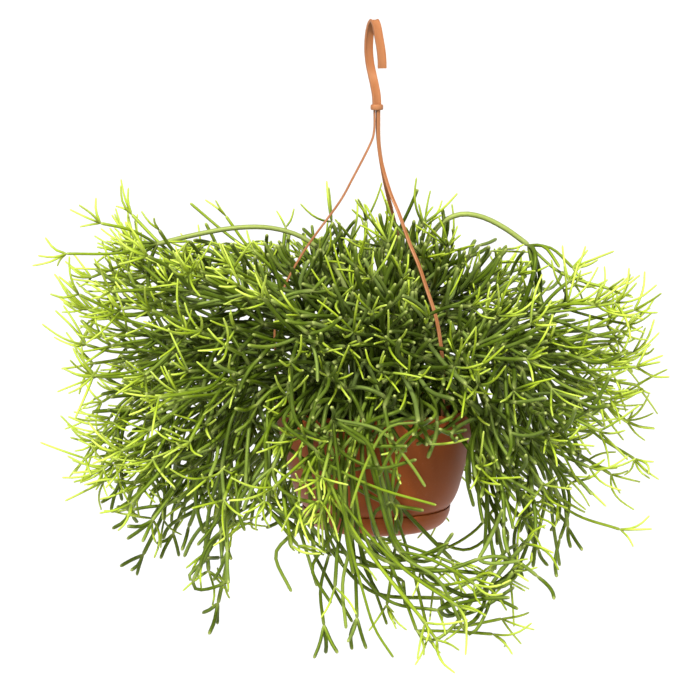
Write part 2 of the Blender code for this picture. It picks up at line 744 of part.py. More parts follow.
def main():
    for old in list(bpy.data.objects):
        bpy.data.objects.remove(old)
    parts = collection("hanging_rhipsalis")
    cutters = {name: collection(name) for name in ("pot_cutters", "soil_holes", "hook_sockets")}
    joined = {name: collection(name) for name in ("pot_lugs", "hook_rails")}
    stems = plant(SEED)
    sections = {sides: bpy.data.objects.new(f"section_{sides}", section(sides)) for sides in (3, 4)}
    greens = [material(f"stem_green_{i}", green, 0.45) for i, green in enumerate(GREENS)]
    for i, (name, shoots) in enumerate(stems.items()):
        add_spray(name, shoots, sections, parts, greens[i % len(greens)])
    for guide in sections.values():
        bpy.data.objects.remove(guide)

    plastic = material("terracotta_plastic", TERRACOTTA, 0.42)
    hanger = material("hanger_plastic", PEACH, 0.4)
    add_hook(parts, joined["hook_rails"], cutters["hook_sockets"], hanger)
    for name in BOWS:
        add_strap(name, parts, hanger)
    add_pot(parts, cutters["pot_cutters"], joined["pot_lugs"], plastic)
    add_saucer(parts, material("saucer_plastic", TERRACOTTA, 0.42))
    for name, shoots in stems.items():
        root = shoots[0].path[0]
        radius = RADII[0] * SIDE_FACTOR[4] / math.cos(math.pi / HOLE_SIDES) + GAP
        hidden(rod("hole_" + name, radius, HOLE_BOTTOM, 0.0, root, HOLE_SIDES, cutters["soil_holes"]))
    add_soil(parts, cutters["soil_holes"], material("potting_soil", PEAT, 0.95))

    for name, holder in joined.items():
        for piece in holder.objects:
            hidden(piece)
    hanging = bpy.data.objects.new("hanging_point", None)
    parts.objects.link(hanging)
    hanging.location = -SADDLE
    for holder in (parts, *cutters.values(), *joined.values()):
        for piece in holder.objects:
            if piece != hanging:
                piece.parent = hanging


if __name__ == "__main__":
    main()
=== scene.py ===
"""A hanging pot of pencil-stemmed rhipsalis: round stems, turned plastic and soil over the part's solids.

The cuttings grow by the same rule and the same draws as in the part's source, so each one stands where its
solid stands. Their stems are then swept round, and every whorl gets the rest of its shoots. All growth is
worked out round the pot's own axis, with z = 0 at the top of its rim. Taking SADDLE away brings a point into
the frame, whose origin is where the hook's saddle rests.
"""

import json
import math
import random
from bisect import bisect_right

import bmesh
import bpy
from mathutils import Matrix, Vector, noise

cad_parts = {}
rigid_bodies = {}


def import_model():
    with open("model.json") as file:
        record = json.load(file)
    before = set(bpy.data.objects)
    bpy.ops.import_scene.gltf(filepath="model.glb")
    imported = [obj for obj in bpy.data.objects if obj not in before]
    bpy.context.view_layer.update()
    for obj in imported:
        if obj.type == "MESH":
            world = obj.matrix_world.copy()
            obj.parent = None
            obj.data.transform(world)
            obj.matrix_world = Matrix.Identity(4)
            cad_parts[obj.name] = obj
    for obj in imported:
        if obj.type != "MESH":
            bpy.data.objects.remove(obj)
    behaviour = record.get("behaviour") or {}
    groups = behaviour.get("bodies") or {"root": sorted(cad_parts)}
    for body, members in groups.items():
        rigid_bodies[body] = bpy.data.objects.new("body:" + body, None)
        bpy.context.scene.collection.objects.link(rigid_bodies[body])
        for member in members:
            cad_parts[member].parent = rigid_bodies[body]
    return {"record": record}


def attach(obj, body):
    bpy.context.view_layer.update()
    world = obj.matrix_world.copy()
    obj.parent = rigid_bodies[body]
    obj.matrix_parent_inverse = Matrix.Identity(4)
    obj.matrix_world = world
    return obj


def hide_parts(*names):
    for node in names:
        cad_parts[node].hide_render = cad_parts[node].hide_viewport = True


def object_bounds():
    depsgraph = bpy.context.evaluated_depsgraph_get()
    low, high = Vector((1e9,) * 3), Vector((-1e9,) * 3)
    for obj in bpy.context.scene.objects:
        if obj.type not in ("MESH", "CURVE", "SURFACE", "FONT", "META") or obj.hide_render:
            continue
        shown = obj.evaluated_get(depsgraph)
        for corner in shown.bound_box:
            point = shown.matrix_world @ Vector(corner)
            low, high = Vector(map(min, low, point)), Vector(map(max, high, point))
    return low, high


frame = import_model()
cad_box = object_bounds()

MM = 0.001
SADDLE = Vector((-2.1, 4.0, 284.5)) * MM
SLOT_OF = {row["node"]: row["material_slot"] for row in frame["record"]["subparts"]}

# The photograph's view: where it is seen from, what it looks at, and how wide its frame is there
EYE = Vector((-21.4, -1980.5, 320.3)) * MM
VIEW_MIDDLE = Vector((-21.4, 0.0, 42.0)) * MM
VIEW_WIDTH = 0.522
SENSOR_WIDTH = 36.0

# Pot, saucer and soil, as (radius, height) in millimetres
STEPS = 112
CURVE_PARTS = 4
POT_WALL = 1.7
POT_OUTSIDE = [(75.8, -0.6), (75.7, -2.0), (74.4, -16.0), (67.6, -43.5), (62.8, -62.0), (59.2, -71.0)]
POT_TURN = [(56.5, -75.0), (53.0, -79.0), (49.0, -82.4), (45.0, -84.6)]
TURN_WALL = (1.5, 1.3)
POT_LIP = ((74.95, -0.85), 0.85)
FOOT_RING = (40.0, 42.0)
FOOT_FILLET = 0.8
FLOOR_UNDER = -85.2
FOOT_Z = -91.2
DRAINS = 6
DRAIN_CIRCLE = 27.0
DRAIN_RADIUS = 3.0
SAUCER_OUTSIDE = [(56.0, -77.4), (55.3, -82.0), (53.0, -87.0), (49.5, -90.7), (44.5, -92.7), (41.0, -93.0)]
SAUCER_INSIDE = [(43.8, -91.5), (48.6, -89.6), (51.7, -86.2), (53.8, -81.6), (54.5, -77.4)]
SAUCER_EASE = 0.6
SAUCER_LIP = ((55.55, -77.45), 0.45)
CLIP_RING = (42.9, 44.1)
CLIP_TOP = -87.6
# The beads that clip the saucer on: how far they stand out, and their first corner, second corner and end
BEAD_OUT = 0.6
POT_BEAD = (0.9, 1.4, 1.9)
SAUCER_BEAD = (0.4, 0.9, 1.4)
SOIL_TOP = [(0.0, -8.0), (30.0, -8.7), (55.0, -11.2), (70.4, -14.0)]
SOIL_EDGE = [(70.4, 0.0), (70.2, -18.0), (66.0, -40.0), (0.0, -40.0)]
SOIL_RINGS = 2
SOIL_STEPS = 96
LUMPS_TO_MM = 0.06
LUMP_SLICE = 3.7
LUMP_HEIGHT = 1.6
CRUMB_SPACING = 1.9 * MM
CRUMB_SIZE = 1.0 * MM
CRUMBS_TO_M2 = 260000.0
CRUMB_SEED = 4
# How crumbs turn and how they are graded: least, most and seed
CRUMB_TURNS = ((0.0, 0.0, 0.0), (6.28, 6.28, 6.28), 8)
CRUMB_GRADES = ((0.3, 0.3, 0.2), (1.1, 1.0, 0.8), 9)

# Where the straps stand round the pot. The lugs inside its rim that hold them: inner and outer radius, width,
# bottom and top, then their slot's near and far side and width
STRAP_TURNS = {"left": 191.0, "front": -48.0, "back": 66.0}
LUG = (68.4, 74.4, 10.0, -9.0, -2.0)
LUG_SLOT = (69.9, 72.5, 3.6)
LUG_EASE = 0.5

# Hook, as (out, up) from its saddle, and straps, as (share of the way down, out from the pot's axis)
HOOK_TURN = math.radians(-62.0)
HOOK_LINE = [
    (4.5, -62.0), (3.6, -54.0), (0.6, -46.0), (-3.2, -38.0), (-6.6, -30.0), (-8.4, -21.0), (-7.7, -11.0),
    (-4.8, -2.6), (0.0, 1.25), (3.9, -2.4), (7.2, -10.5), (10.6, -20.0), (12.2, -27.5), (12.4, -33.5),
]
HOOK_HALF = 3.3
RAIL_HALF = 1.25
RAIL_WIDTH = 0.9
WEB_HALF = 0.7
HOOK_PARTS = 7
# Points round a rail's outer and inner corner and at the web, as how far each lies in from it
RAIL_OUTER = [(0.0, 0.35), (0.12, 0.1), (0.35, 0.0)]
RAIL_INNER = [(-0.2, 0.0), (0.0, 0.15)]
WEB_CORNER = [(0.12, 0.1), (0.4, 0.0)]
# A strip's eased ends: how far the last ring stands beyond the line, and how much smaller it is on each side
CAP_BEYOND = 0.12
CAP_EASE = 0.15
# The ledge at the hook's foot: half its length and depth, and its side as (share of half, height)
LEDGE_HALF = (4.9, 4.2)
LEDGE_SIDE = [
    (0.0, 4.2), (0.82, 4.2), (0.95, 3.8), (1.0, 3.2), (1.0, 0.8), (0.93, 0.25), (0.78, 0.0), (0.0, 0.0),
]
LEDGE_STEPS = 48
LEDGE_Z = -64.5
SOCKET_RADIUS = 3.3
SOCKET_DEPTH = 3.2
STRAP_HALF = (1.5, 0.65)
STRAP_PARTS = 6
STRAP_EASE = 0.3
STRAP_GAP = 0.3
# A strap's toe: how far it stands inwards, how far it stays in from the strap's outside and up from its foot
TOE = (1.3, 0.2, 0.1)
TOE_EASE = 0.25
STRAP_IN = 1.85
STRAP_AT_LUG = 71.55
BOWS = {
    "left": [
        (0.0, STRAP_IN), (0.07, 2.1), (0.12, 5.6), (0.23, 18.4), (0.31, 28.5), (0.43, 48.5), (0.5, 59.0),
        (0.57, 67.6), (0.64, 73.6), (0.74, 77.4), (0.86, 75.9), (0.94, 72.6), (0.98, STRAP_AT_LUG),
        (1.0, STRAP_AT_LUG),
    ],
    "front": [
        (0.0, STRAP_IN), (0.1, 2.1), (0.17, 4.8), (0.27, 14.3), (0.34, 24.0), (0.44, 36.0), (0.51, 45.8),
        (0.6, 56.0), (0.67, 63.6), (0.74, 68.2), (0.83, 71.4), (0.92, 72.2), (0.98, STRAP_AT_LUG),
        (1.0, STRAP_AT_LUG),
    ],
    "back": [
        (0.0, STRAP_IN), (0.08, 2.2), (0.15, 6.0), (0.25, 15.6), (0.34, 27.0), (0.44, 40.0), (0.52, 50.6),
        (0.61, 60.4), (0.68, 66.4), (0.76, 70.6), (0.86, 72.8), (0.93, 72.4), (0.98, STRAP_AT_LUG),
        (1.0, STRAP_AT_LUG),
    ],
}
STRAP_FOOT = -11.4 * MM

# Growth of the cuttings that have solids
SEED = 25
CUTTINGS = 35
GOLDEN_TURN = 137.508
ROOT_CIRCLE = 59.0 * MM
ROOT_Z = -33.7 * MM
HEAD_AIMS = (78.0, -58.0)
DEPTHS = [1.0, 1.0, 0.74]
WHORL_RISE = [(-75, 5), (-45, 9), (-15, 17), (15, 32), (45, 50), (80, 76)]
WHORL_SHARE = 0.47
# Cuttings with a place of their own: azimuth, head's azimuth and elevation, the root's distance out, first
# whorl as (out, up), height of the arch, and how steeply the stem comes in to the whorl
PLACED = [
    ("front_trailing_1", -118.0, (-98.0, -60.0), 63.0, (90.0, 12.0), 20.0, -60.0),
    ("front_trailing_2", -104.0, (-80.0, -66.0), 55.0, (88.0, 15.0), 24.0, -66.0),
    ("front_trailing_3", -90.0, (-62.0, -64.0), 63.0, (90.0, 11.0), 20.0, -64.0),
    ("arching_left", 179.0, (176.0, 20.0), 9.0, (164.0, 120.0), 167.0, -14.0),
    ("arching_right", -3.0, (-6.0, 22.0), 20.0, (113.0, 120.0), 178.0, -38.0),
]
# How far the foliage reaches on four sides, as (elevation, distance in millimetres)
REACH = {
    "right": [(-90, 150), (-60, 192), (-45, 216), (-30, 236), (-15, 221), (15, 222), (28, 230), (38, 196),
              (60, 158), (90, 158)],
    "back": [(-90, 150), (-60, 185), (-40, 196), (-10, 206), (20, 208), (45, 176), (65, 158), (90, 156)],
    "left": [(-90, 150), (-62, 200), (-48, 236), (-30, 240), (-15, 258), (0, 266), (15, 274), (30, 284),
             (43, 246), (54, 178), (70, 164), (90, 160)],
    "front": [(-90, 165), (-72, 217), (-62, 213), (-45, 198), (-20, 186), (0, 188), (30, 184), (60, 164),
              (90, 160)],
}
# Where the photograph's view stays open: (left, right), (low, high), and whether only stems in front count
WINDOWS = [
    ((-86.0, -46.0), (-194.0, -138.0), False), ((77.0, 98.0), (-158.0, -107.0), False),
    ((41.0, 90.0), (-142.0, -73.0), True), ((58.0, 158.0), (82.0, 400.0), False),
    ((-160.0, -36.0), (112.0, 400.0), False),
]
# For each level of stem: its share of the reach, how far it leans from its parent, and its branches
SHARE = [0.0, 0.66, 0.86, 1.0]
SPREAD = [0.0, 50.0, 46.0, 44.0]
BRANCHES = [(3, 3), (1, 2), (2, 3)]
RADII = [1.8 * MM, 1.6 * MM, 1.35 * MM, 1.1 * MM]
TIP_LENGTH = (15.0 * MM, 27.0 * MM)
YOUNG = (135.0 * MM, 205.0 * MM)
YOUNG_LEAST = 0.22
CLEAR = 0.5 * MM
JOINT_ROOM = 7 * MM
STRAP_ROOM = 1.8 * MM
LEADER_LEAN = 0.6
AIMED = 0.8
AIM_PULL = [0.0, 95.0 * MM, 60.0 * MM, 0.0]
SIDE_PULL = [0.0, 62.0 * MM, 54.0 * MM, 0.0]
SPANS = [5, 2, 2, 1]
ARCH_SPANS = 8
ARCH_BRANCHES = 4
STOUT = 1.24
GROW_TRIALS = 14
TURN_LOOSE = 0.35
LEAN_LOOSE = (0.8, 1.3)
REACH_LOOSE = (0.9, 1.08)
LEAST_SHOOT = 18
TIPS_OUTWARD = 0.35
# The old stems: how often each is tried, after how many trials its place is free by how many millimetres,
# how far back it turns in to the whorl, where it leaves the soil, how it arches, and where it is over the rim
STEM_TRIALS = 120
LOOSE_TRIALS = 60
LOOSE_MOST = 14
WAY_IN = 0.35
OUT_OF_SOIL = -6 * MM
ARCH_SHARE = 0.8
ARCH_LEAST = 10 * MM
OVER_RIM = 64 * MM
# How far stems keep from the rim and the pot's wall, and from the free space round and below the saucer
RIM_CLEAR = 2.4 * MM
WALL_CLEAR = 1.5 * MM
SAUCER_FROM = -70 * MM
SAUCER_ROOM = 58 * MM
HANG_OUT = 82 * MM
# How near to a strap a stem may be seen in front of it, from where down the straps are behind stems, and how
# finely their line is read
STRAP_SEEN = 2.2
STRAP_LOW = (("left", 47.0), ("front", -3.0))
STRAP_READ = 8

# The rest of the plant: more stems out of the soil, and more shoots in every whorl
THICKET_SEED = 11
INFILL_SEED = 5
FILL_CLEAR = 0.1 * MM
# Cuttings between those with solids: how many, their highest and lowest aim, their first turn, how much they
# crowd to the sides, and how often one is low in front, with the first one's turn and how far they spread
FILLERS = 120
FILLER_AIMS = (80.0, -62.0)
FILLER_TURN = 71.0
FILLER_CROWD = 20.0
FRONT_EVERY = 5
FRONT_FIRST = -155.0
FRONT_SPREAD = 130.0
FRONT_LOW = -18.0
FILLER_CIRCLE = (0.75, 1.15)
FILLER_WHORL = (0.34, 0.56)
FILLER_ARCH = (0.75, 1.2)
FILLER_ARCH_LEAST = 14 * MM
FILLER_DEPTH = (0.72, 1.0)
# How far each cutting's root, its whorl's height and its aim may be off, in degrees
FILLER_LOOSE = (25, 8, 30)
FILLER_TRIALS = 40
# Upright stubs: how many, the first one's turn, the steepest and how far the last leans over, from what angle
# they count as upright, their reach and an upright one's most. Their arch is a share of their height and
# a bit, their roots may be off by some degrees, and one in so many may be tall
STUBS = 72
STUB_TURN = 20.0
STUB_STEEPEST = 88.0
STUB_LEANING = 76.0
STUB_UPRIGHT = 50
STUB_REACH = (0.45, 0.7)
STUB_TALLEST = 0.95
STUB_ARCH = (0.7, 8 * MM)
STUB_LOOSE = 30
STUB_TRIALS = 30
TALL_STUBS = 6
# Whorls: how many shoots, how far they lean and how long they are, for each level
WHORL_SHOOTS = [(4, 6), (3, 5), (4, 6)]
WHORL_LEAN = [None, (22.0, 70.0), (20.0, 66.0), (24.0, 80.0)]
SHOOT_LENGTH = [None, (26.0 * MM, 84.0 * MM), (16.0 * MM, 58.0 * MM)]
TIP_RANGE = (14.0 * MM, 38.0 * MM)
SHOOT_TRIALS = 7
SHOOT_REACH = (0.84, 1.06)
# How loosely a shoot turns about its joint, how far it strays, and how much the last ones lean outwards
SHOOT_TURN = 0.5
SHOOT_CURL = 0.5
SHOOTS_OUTWARD = 0.3
# How much of that shoots curl aside, high up and low down, and how much tips do and rise or fall
CURL = (0.4, 0.8)
TIP_CURL = 0.7
TIP_RISE = (0.3, -0.1)
# Low stems hang more loosely, and those before the pot, as far aside as POT_SIDE, sweep to the right
LOOSE_BELOW = -45.0 * MM
POT_SIDE = 80 * MM
SWEEP = 0.5
BOW = 0.42
# Stems that trail over the rim: the root's azimuth, how far forward they hang, whether their end is blunt,
# and where they are seen as (across, up) in the photograph's view, all in millimetres
TRAILS = [
    (-115.0, -90.0, False, [(-22, -77), (-19, -119), (5, -159), (34, -189), (63, -198)]),
    (-128.0, -89.0, False, [(-47, -73), (-44, -107), (-14, -152), (20, -182), (69, -189)]),
    (-90.0, -91.0, False, [(2, -77), (3, -129), (28, -163), (69, -170), (98, -159)]),
    (-100.0, -86.0, True, [(-10, -77), (-2, -129), (13, -189), (21, -212), (34, -232)]),
    (-122.0, -93.0, True, [(-36, -77), (-21, -114), (-44, -137), (-56, -155), (-40, -183)]),
    (-105.0, -95.0, True, [(-6, -80), (-8, -133), (-23, -159), (-25, -174), (-15, -193)]),
    (-95.0, -99.0, True, [(6, -80), (3, -137), (-5, -178), (-1, -212)]),
    (-80.0, -92.0, False, [(18, -80), (30, -140), (54, -163), (88, -183), (108, -178)]),
    (-110.0, -98.0, False, [(-29, -69), (-14, -114), (17, -148), (58, -159), (80, -140)]),
    (-70.0, -94.0, False, [(20, -66), (22, -112), (40, -150), (66, -178), (84, -205)]),
    (-88.0, -103.0, False, [(-2, -70), (8, -120), (22, -158), (46, -190), (66, -220)]),
    (12.0, 34.0, True, [(114, -99), (103, -129), (77, -149), (47, -156)]),
    (4.0, 46.0, True, [(122, -90), (112, -134), (92, -152), (66, -146)]),
    (-142.0, -93.0, True, [(-60, -58), (-36, -64), (-5, -70)]),
    (-148.0, -97.0, False, [(-65, -76), (-29, -86), (9, -99), (33, -116)]),
    (-60.0, -96.0, True, [(80, -50), (54, -62), (37, -86), (32, -122)]),
    (-130.0, -101.0, False, [(-54, -54), (-30, -70), (-14, -98), (-22, -122)]),
    (-75.0, -99.0, False, [(36, -44), (20, -62), (-6, -84), (-18, -104)]),
    (-40.0, -94.0, True, [(88, -44), (78, -56), (62, -68), (50, -72)]),
    (-65.0, -99.0, True, [(40, -46), (56, -58), (74, -64), (88, -62)]),
    (-55.0, -91.0, False, [(52, -42), (54, -58), (60, -70)]),
    (-85.0, -95.0, False, [(16, -48), (34, -62), (44, -78)]),
    (-30.0, -80.0, True, [(96, -50), (92, -72), (90, -96), (94, -118)]),
    (-150.0, -92.0, False, [(-66, -64), (-58, -92), (-64, -118), (-84, -134)]),
    (-25.0, -50.0, False, [(118, -60), (140, -100), (170, -122), (204, -138)]),
    (-35.0, -60.0, False, [(105, -70), (126, -104), (134, -124), (140, -139)]),
    (-160.0, -70.0, False, [(-70, -92), (-90, -129), (-107, -162), (-115, -172)]),
    (-175.0, -40.0, False, [(-120, -50), (-150, -76), (-182, -99)]),
    (-112.0, -95.0, False, [(-18, -80), (0, -130), (30, -172), (58, -206)]),
    (-98.0, -92.0, False, [(-4, -84), (14, -134), (44, -170), (80, -196)]),
    (-84.0, -98.0, False, [(8, -80), (20, -130), (36, -176), (52, -214)]),
    (-135.0, -88.0, True, [(-50, -30), (-40, -52), (-24, -66), (-6, -72)]),
    (-110.0, -92.0, True, [(-30, -34), (-20, -56), (2, -62), (24, -60)]),
    (-95.0, -90.0, False, [(-12, -36), (-4, -58), (14, -70), (22, -88)]),
    (-120.0, -95.0, False, [(-40, -40), (-34, -60), (-26, -80)]),
    (-80.0, -93.0, True, [(10, -36), (-6, -54), (-28, -64), (-50, -66)]),
    (-60.0, -92.0, True, [(56, -34), (38, -52), (18, -60), (-4, -58)]),
    (-50.0, -92.0, False, [(62, -36), (66, -60), (58, -84)]),
    (-68.0, -90.0, True, [(34, -34), (26, -56), (10, -74)]),
    (-140.0, -98.0, False, [(-48, -58), (-20, -84), (20, -104), (66, -118)]),
    (-132.0, -102.0, False, [(-40, -66), (-8, -94), (24, -110), (56, -126)]),
    (-75.0, -96.0, True, [(44, -40), (30, -60), (14, -86), (2, -120)]),
    (-62.0, -98.0, True, [(60, -44), (44, -64), (28, -92)]),
    (-90.0, -99.0, False, [(0, -48), (24, -62), (46, -86), (58, -104)]),
    (-100.0, -104.0, True, [(-20, -60), (14, -72), (44, -74)]),
    (-118.0, -100.0, False, [(-44, -84), (-12, -92), (20, -90), (40, -96)]),
    (-105.0, -106.0, False, [(-26, -52), (-6, -78), (22, -88), (50, -84)]),
]
# How often a trail is tried, and what gets freer from trial to trial: how far off it hangs, the azimuths of
# its root and of where it crosses the rim, and its bends. Its root's distance and its rise are in millimetres
TRAIL_TRIALS = 900
TRAIL_ROOM = 44.0
TRAIL_TURN = 60
TRAIL_RIM_TURN = 25
TRAIL_LOOSE = 7.0 * MM
TRAIL_ROOTS = (30, 66)
TRAIL_FOOT = -5 * MM
TRAIL_RIM = 76
TRAIL_RISE = (8, 30)
# A trail that isn't blunt has a joint at this share of its points, and branches on if it ends below this
TRAIL_JOINT = 0.74
TRAIL_END = -140.0
# Trails from the ends of hanging stems: how far forward those are, how many are tried and how often, and how
# much further forward the trail then hangs
SIDE_FORWARD = -70.0 * MM
SIDE_STEMS = 12
SIDE_TRIALS = 30
SIDE_ROOM = (-4.0, 16.0)
# Short stems over the front rim: how many, their azimuths, where they start, end and rise to in millimetres,
# and how steeply they fall
FRINGE = 60
FRINGE_TURNS = (-150.0, -30.0)
FRINGE_ROOTS = (30, 64)
FRINGE_OUT = (84.0, 106.0)
FRINGE_UP = (-30.0, 6.0)
FRINGE_ARCH = (16.0, 44.0)
FRINGE_FALL = -55
# How far each one's root, its end and its way may be off, in degrees
FRINGE_LOOSE = (20, 14, 50)
FRINGE_TRIALS = 50
GOLDEN_SHARE = 0.618034
# Bends of a stem of each level, and about how long each is
BENDS = [8, 5, 4, 3]
BEND_LENGTH = 6 * MM
FINE_WINDOWS = WINDOWS + [
    ((56.0, 158.0), (79.0, 400.0), False), ((-50.0, 60.0), (86.0, 400.0), False),
    ((-150.0, -50.0), (81.0, 400.0), False), ((-260.0, -120.0), (-260.0, -160.0), False),
    ((-62.0, -12.0), (-260.0, -156.0), False), ((-260.0, -148.0), (-260.0, -128.0), False),
    ((-20.0, 6.0), (-260.0, -170.0), False),
]
STUB_WINDOWS = WINDOWS + [((-60.0, 158.0), (84.0, 400.0), False)]
# Radius of old and young stems, and how ripe each kind is where it is old and where it is young
OLD_RADII = [1.85 * MM, 1.72 * MM, 1.62 * MM, 1.5 * MM]
YOUNG_RADII = [1.75 * MM, 1.3 * MM, 1.12 * MM, 0.96 * MM]
RIPE = [(-0.02, 0.2), (0.03, 0.34), (0.08, 0.54), (0.2, 1.0)]
RIPE_LOOSE = 0.06
# Between which shares of the foliage's reach stems turn from old to young, and how young they are before it:
# the darker green deep inside is partly painted shade.
# The crown, where all stay old, as its middle and its half width and height, and how it ends
FRESH = (0.6, 0.95)
FRESH_INSIDE = 0.3
CROWN = ((14 * MM, 80 * MM), (90 * MM, 88 * MM))
CROWN_EDGE = (0.82, 1.4)
# Zones of fewer young stems, as (least x, greatest x, least z, greatest z, share)
SPARSE = [
    (-300.0 * MM, -70.0 * MM, -300.0 * MM, -50.0 * MM, 0.5),
    (72.0 * MM, 160.0 * MM, -140.0 * MM, 76.0 * MM, 0.4),
    (-70.0 * MM, 4.0 * MM, -300.0 * MM, -90.0 * MM, 0.62),
]
# The least chance that a whorl is young, how it grows outwards, and the share from which all are
LEAST_STARS = 0.31
STARS_RISE = 1.2
OUTERMOST = 0.62
# Old whorls have a few thick fingers, young ones stars of thin shoots. Some joints have shoots and branches
FINGERS = (0, 2)
FINGER_RANGE = (14.0 * MM, 38.0 * MM)
FINGER_LEAN = (8.0, 48.0)
SHORT_SHOOTS = (0, 2)

# Sides of a stem's section, and between which levels they hold
SWEEPS = [("old_sides", 8, -1.0, 0.5), ("young_sides", 6, 0.5, 2.5), ("tip_sides", 5, 2.5, 9.0)]
# The form of a stem, in shares of its radius: narrow where it leaves a joint, swollen or rounded at its end
STEM_SEED = 100
STEM_SIZES = (0.9, 1.08)
TIP_BOW = 0.1
TIP_SAG = 0.06
NECK = 2.4 * MM
NECK_SHARE = 0.16
NECK_SIZES = ((0.68, 0.7), (0.95, 0.2))
TAPER = 0.04
TIP_TAPER = 0.24
SWOLLEN = 1.08
END_ROOM = 2.2
SHOULDER = (1.6, 1.0)
ROUNDING = (0.55, 0.84)
TIP_SIZE = 0.42
# How pale arching stems are made all along their length: a painted sheen of light on them
ARCH_PAINTED_SHEEN = 0.55


def between(table, x):
    """Reads a value from a table of (x, value) pairs, straight between its rows."""
    for (x0, y0), (x1, y1) in zip(table, table[1:]):
        if x <= x1:
            return y0 + (y1 - y0) * max(0.0, (x - x0) / (x1 - x0))
    return table[-1][1]


def smooth_line(points, parts):
    """Points along a smooth curve through the given points, which are Vectors."""
    ends = [points[0] * 2 - points[1], *points, points[-1] * 2 - points[-2]]
    line = []
    for before, start, end, after in zip(ends, ends[1:], ends[2:], ends[3:]):
        for step in range(parts):
            t = step / parts
            line.append(
                0.5 * (2 * start + (end - before) * t + (2 * before - 5 * start + 4 * end - after) * t**2
                       + (3 * start - before - 3 * end + after) * t**3)
            )
    return [*line, points[-1]]


def strap_line(name, parts=2):
    """The strap's middle line, (out, up) from the pot's rim, from the ledge down to the lug."""
    top = SADDLE.z + LEDGE_Z * MM
    rows = [Vector((out, (top - share * top) / MM)) for share, out in BOWS[name]]
    return [point * MM for point in smooth_line(rows, parts)]


def strap_place(name, point):
    """Where a point of a strap's line, given as (out, up), stands round the pot."""
    flat = in_direction(STRAP_TURNS[name], 0)
    return flat * point.x + Vector((0, 0, point.y))


# The photograph's view, for what its stems leave open


def seen(point):
    """Where a point is seen: (across, up, away), in millimetres in the plane through the view's middle."""
    ahead = (VIEW_MIDDLE - EYE).normalized()
    away = point - EYE
    at = away * ((VIEW_MIDDLE - EYE).length / away.dot(ahead) / MM)
    return at.x, at.dot(Vector((0.0, -ahead.z, ahead.y))), away.dot(ahead)


def spot_seen(across, up, forward):
    """The point that is seen at (across, up) and lies as far forward as given, all in millimetres."""
    ahead = (VIEW_MIDDLE - EYE).normalized()
    ray = VIEW_MIDDLE + Vector((across, -up * ahead.z, up * ahead.y)) * MM - EYE
    return EYE + ray * ((forward * MM - EYE.y) / ray.y)


def in_window(point, windows=WINDOWS):
    """Whether a point is seen in one of the windows that stay open."""
    x, y, _ = seen(point)
    for (left, right), (low, high), only_front in windows:
        if left < x < right and low < y < high and not (only_front and point.y > 0):
            return True
    return False


class StrapView:
    """The two straps that are seen in front of the foliage, down to where stems cross them."""

    def __init__(self):
        self.rows = {}
        for name, least in STRAP_LOW:
            for point in strap_line(name, STRAP_READ):
                x, y, away = seen(strap_place(name, point))
                if y > least:
                    for row in range(round(y) - 2, round(y) + 3):
                        self.rows.setdefault(row, []).append((x, away))

    def is_crossed(self, path, radius):
        """Whether a path is seen in front of one of the straps."""
        for point in path:
            x, y, away = seen(point)
            for strap_x, strap_away in self.rows.get(round(y), ()):
                if away < strap_away and abs(x - strap_x) < STRAP_SEEN + radius / MM:
                    return True
        return False


# The growth of the cuttings


class Room:
    """The places already taken, as balls along every stem, kept in a grid of cells."""

    CELL = 8 * MM
    STEP = 3 * MM

    def __init__(self):
        self.cells = {}

    @classmethod
    def balls(cls, path):
        """Points along a path, no further apart than STEP."""
        found = [path[0]]
        for start, end in zip(path, path[1:]):
            parts = max(1, math.ceil((end - start).length / cls.STEP))
            found += [start.lerp(end, i / parts) for i in range(1, parts + 1)]
        return found

    def take(self, path, radius, is_strap=False):
        """Marks the places along a path as taken."""
        for ball in self.balls(path):
            key = tuple(math.floor(x / self.CELL) for x in ball)
            self.cells.setdefault(key, []).append((ball, radius, is_strap))

    def is_free(self, path, radius, joint=None, joint_radius=0.0, clear=CLEAR):
        """Whether a path clears every strap, and every stem but those round the joint that it grows from."""
        for ball in self.balls(path):
            at_joint = joint is not None and (ball - joint).length < joint_radius
            x, y, z = (math.floor(v / self.CELL) for v in ball)
            for key in ((x + i, y + j, z + k) for i in (-1, 0, 1) for j in (-1, 0, 1) for k in (-1, 0, 1)):
                for other, other_radius, is_strap in self.cells.get(key, ()):
                    near = at_joint or joint is not None and (other - joint).length < joint_radius
                    if near and not is_strap:
                        continue
                    least = radius + other_radius + clear
                    if (ball - other).length_squared < least**2 + self.STEP**2 / 2:
                        return False
        return True


class Shoot:
    """One length of stem between two joints."""

    def __init__(self, path, level, parent=None, aim=None, depth=1.0, blunt=False):
        self.path = path
        self.level = level
        self.parent = parent
        self.aim = aim
        self.depth = depth
        self.blunt = blunt
        self.branches = 0
        self.ripe = 0.0
        self.fresh = 0.0
        self.is_arching = False
        if parent:
            parent.branches += 1

    def onward(self):
        """The way on from the shoot's end. An old stem's turns towards its cutting's aim."""
        way = (self.path[-1] - self.path[-2]).normalized()
        return (way + self.aim * (0.0 if self.level else AIMED)).normalized()


def stepped(value, low, high):
    """0 below low, 1 above high, and even between them."""
    return max(0.0, min(1.0, (value - low) / (high - low)))


def youth_and_inner_shade(point):
    """0 in the old crown and deep inside the foliage, to 1 at its outer sides and ends: younger growth
    outside, and deep inside a painted shade that makes stems darker green.
    """
    (x, z), (wide, high) = CROWN
    crown = math.hypot((point.x - x) / wide, (point.z - z) / high)
    out = point.length / reach(point.normalized())
    young = stepped(crown, *CROWN_EDGE) * (FRESH_INSIDE + (1 - FRESH_INSIDE) * stepped(out, *FRESH))
    for left, right, low, high, share in SPARSE:
        if left < point.x < right and low < point.z < high:
            return young * share
    return young


def in_direction(azimuth, elevation):
    """The way of length 1 that points in a direction, given in degrees."""
    a, e = math.radians(azimuth), math.radians(elevation)
    return Vector((math.cos(e) * math.cos(a), math.cos(e) * math.sin(a), math.sin(e)))


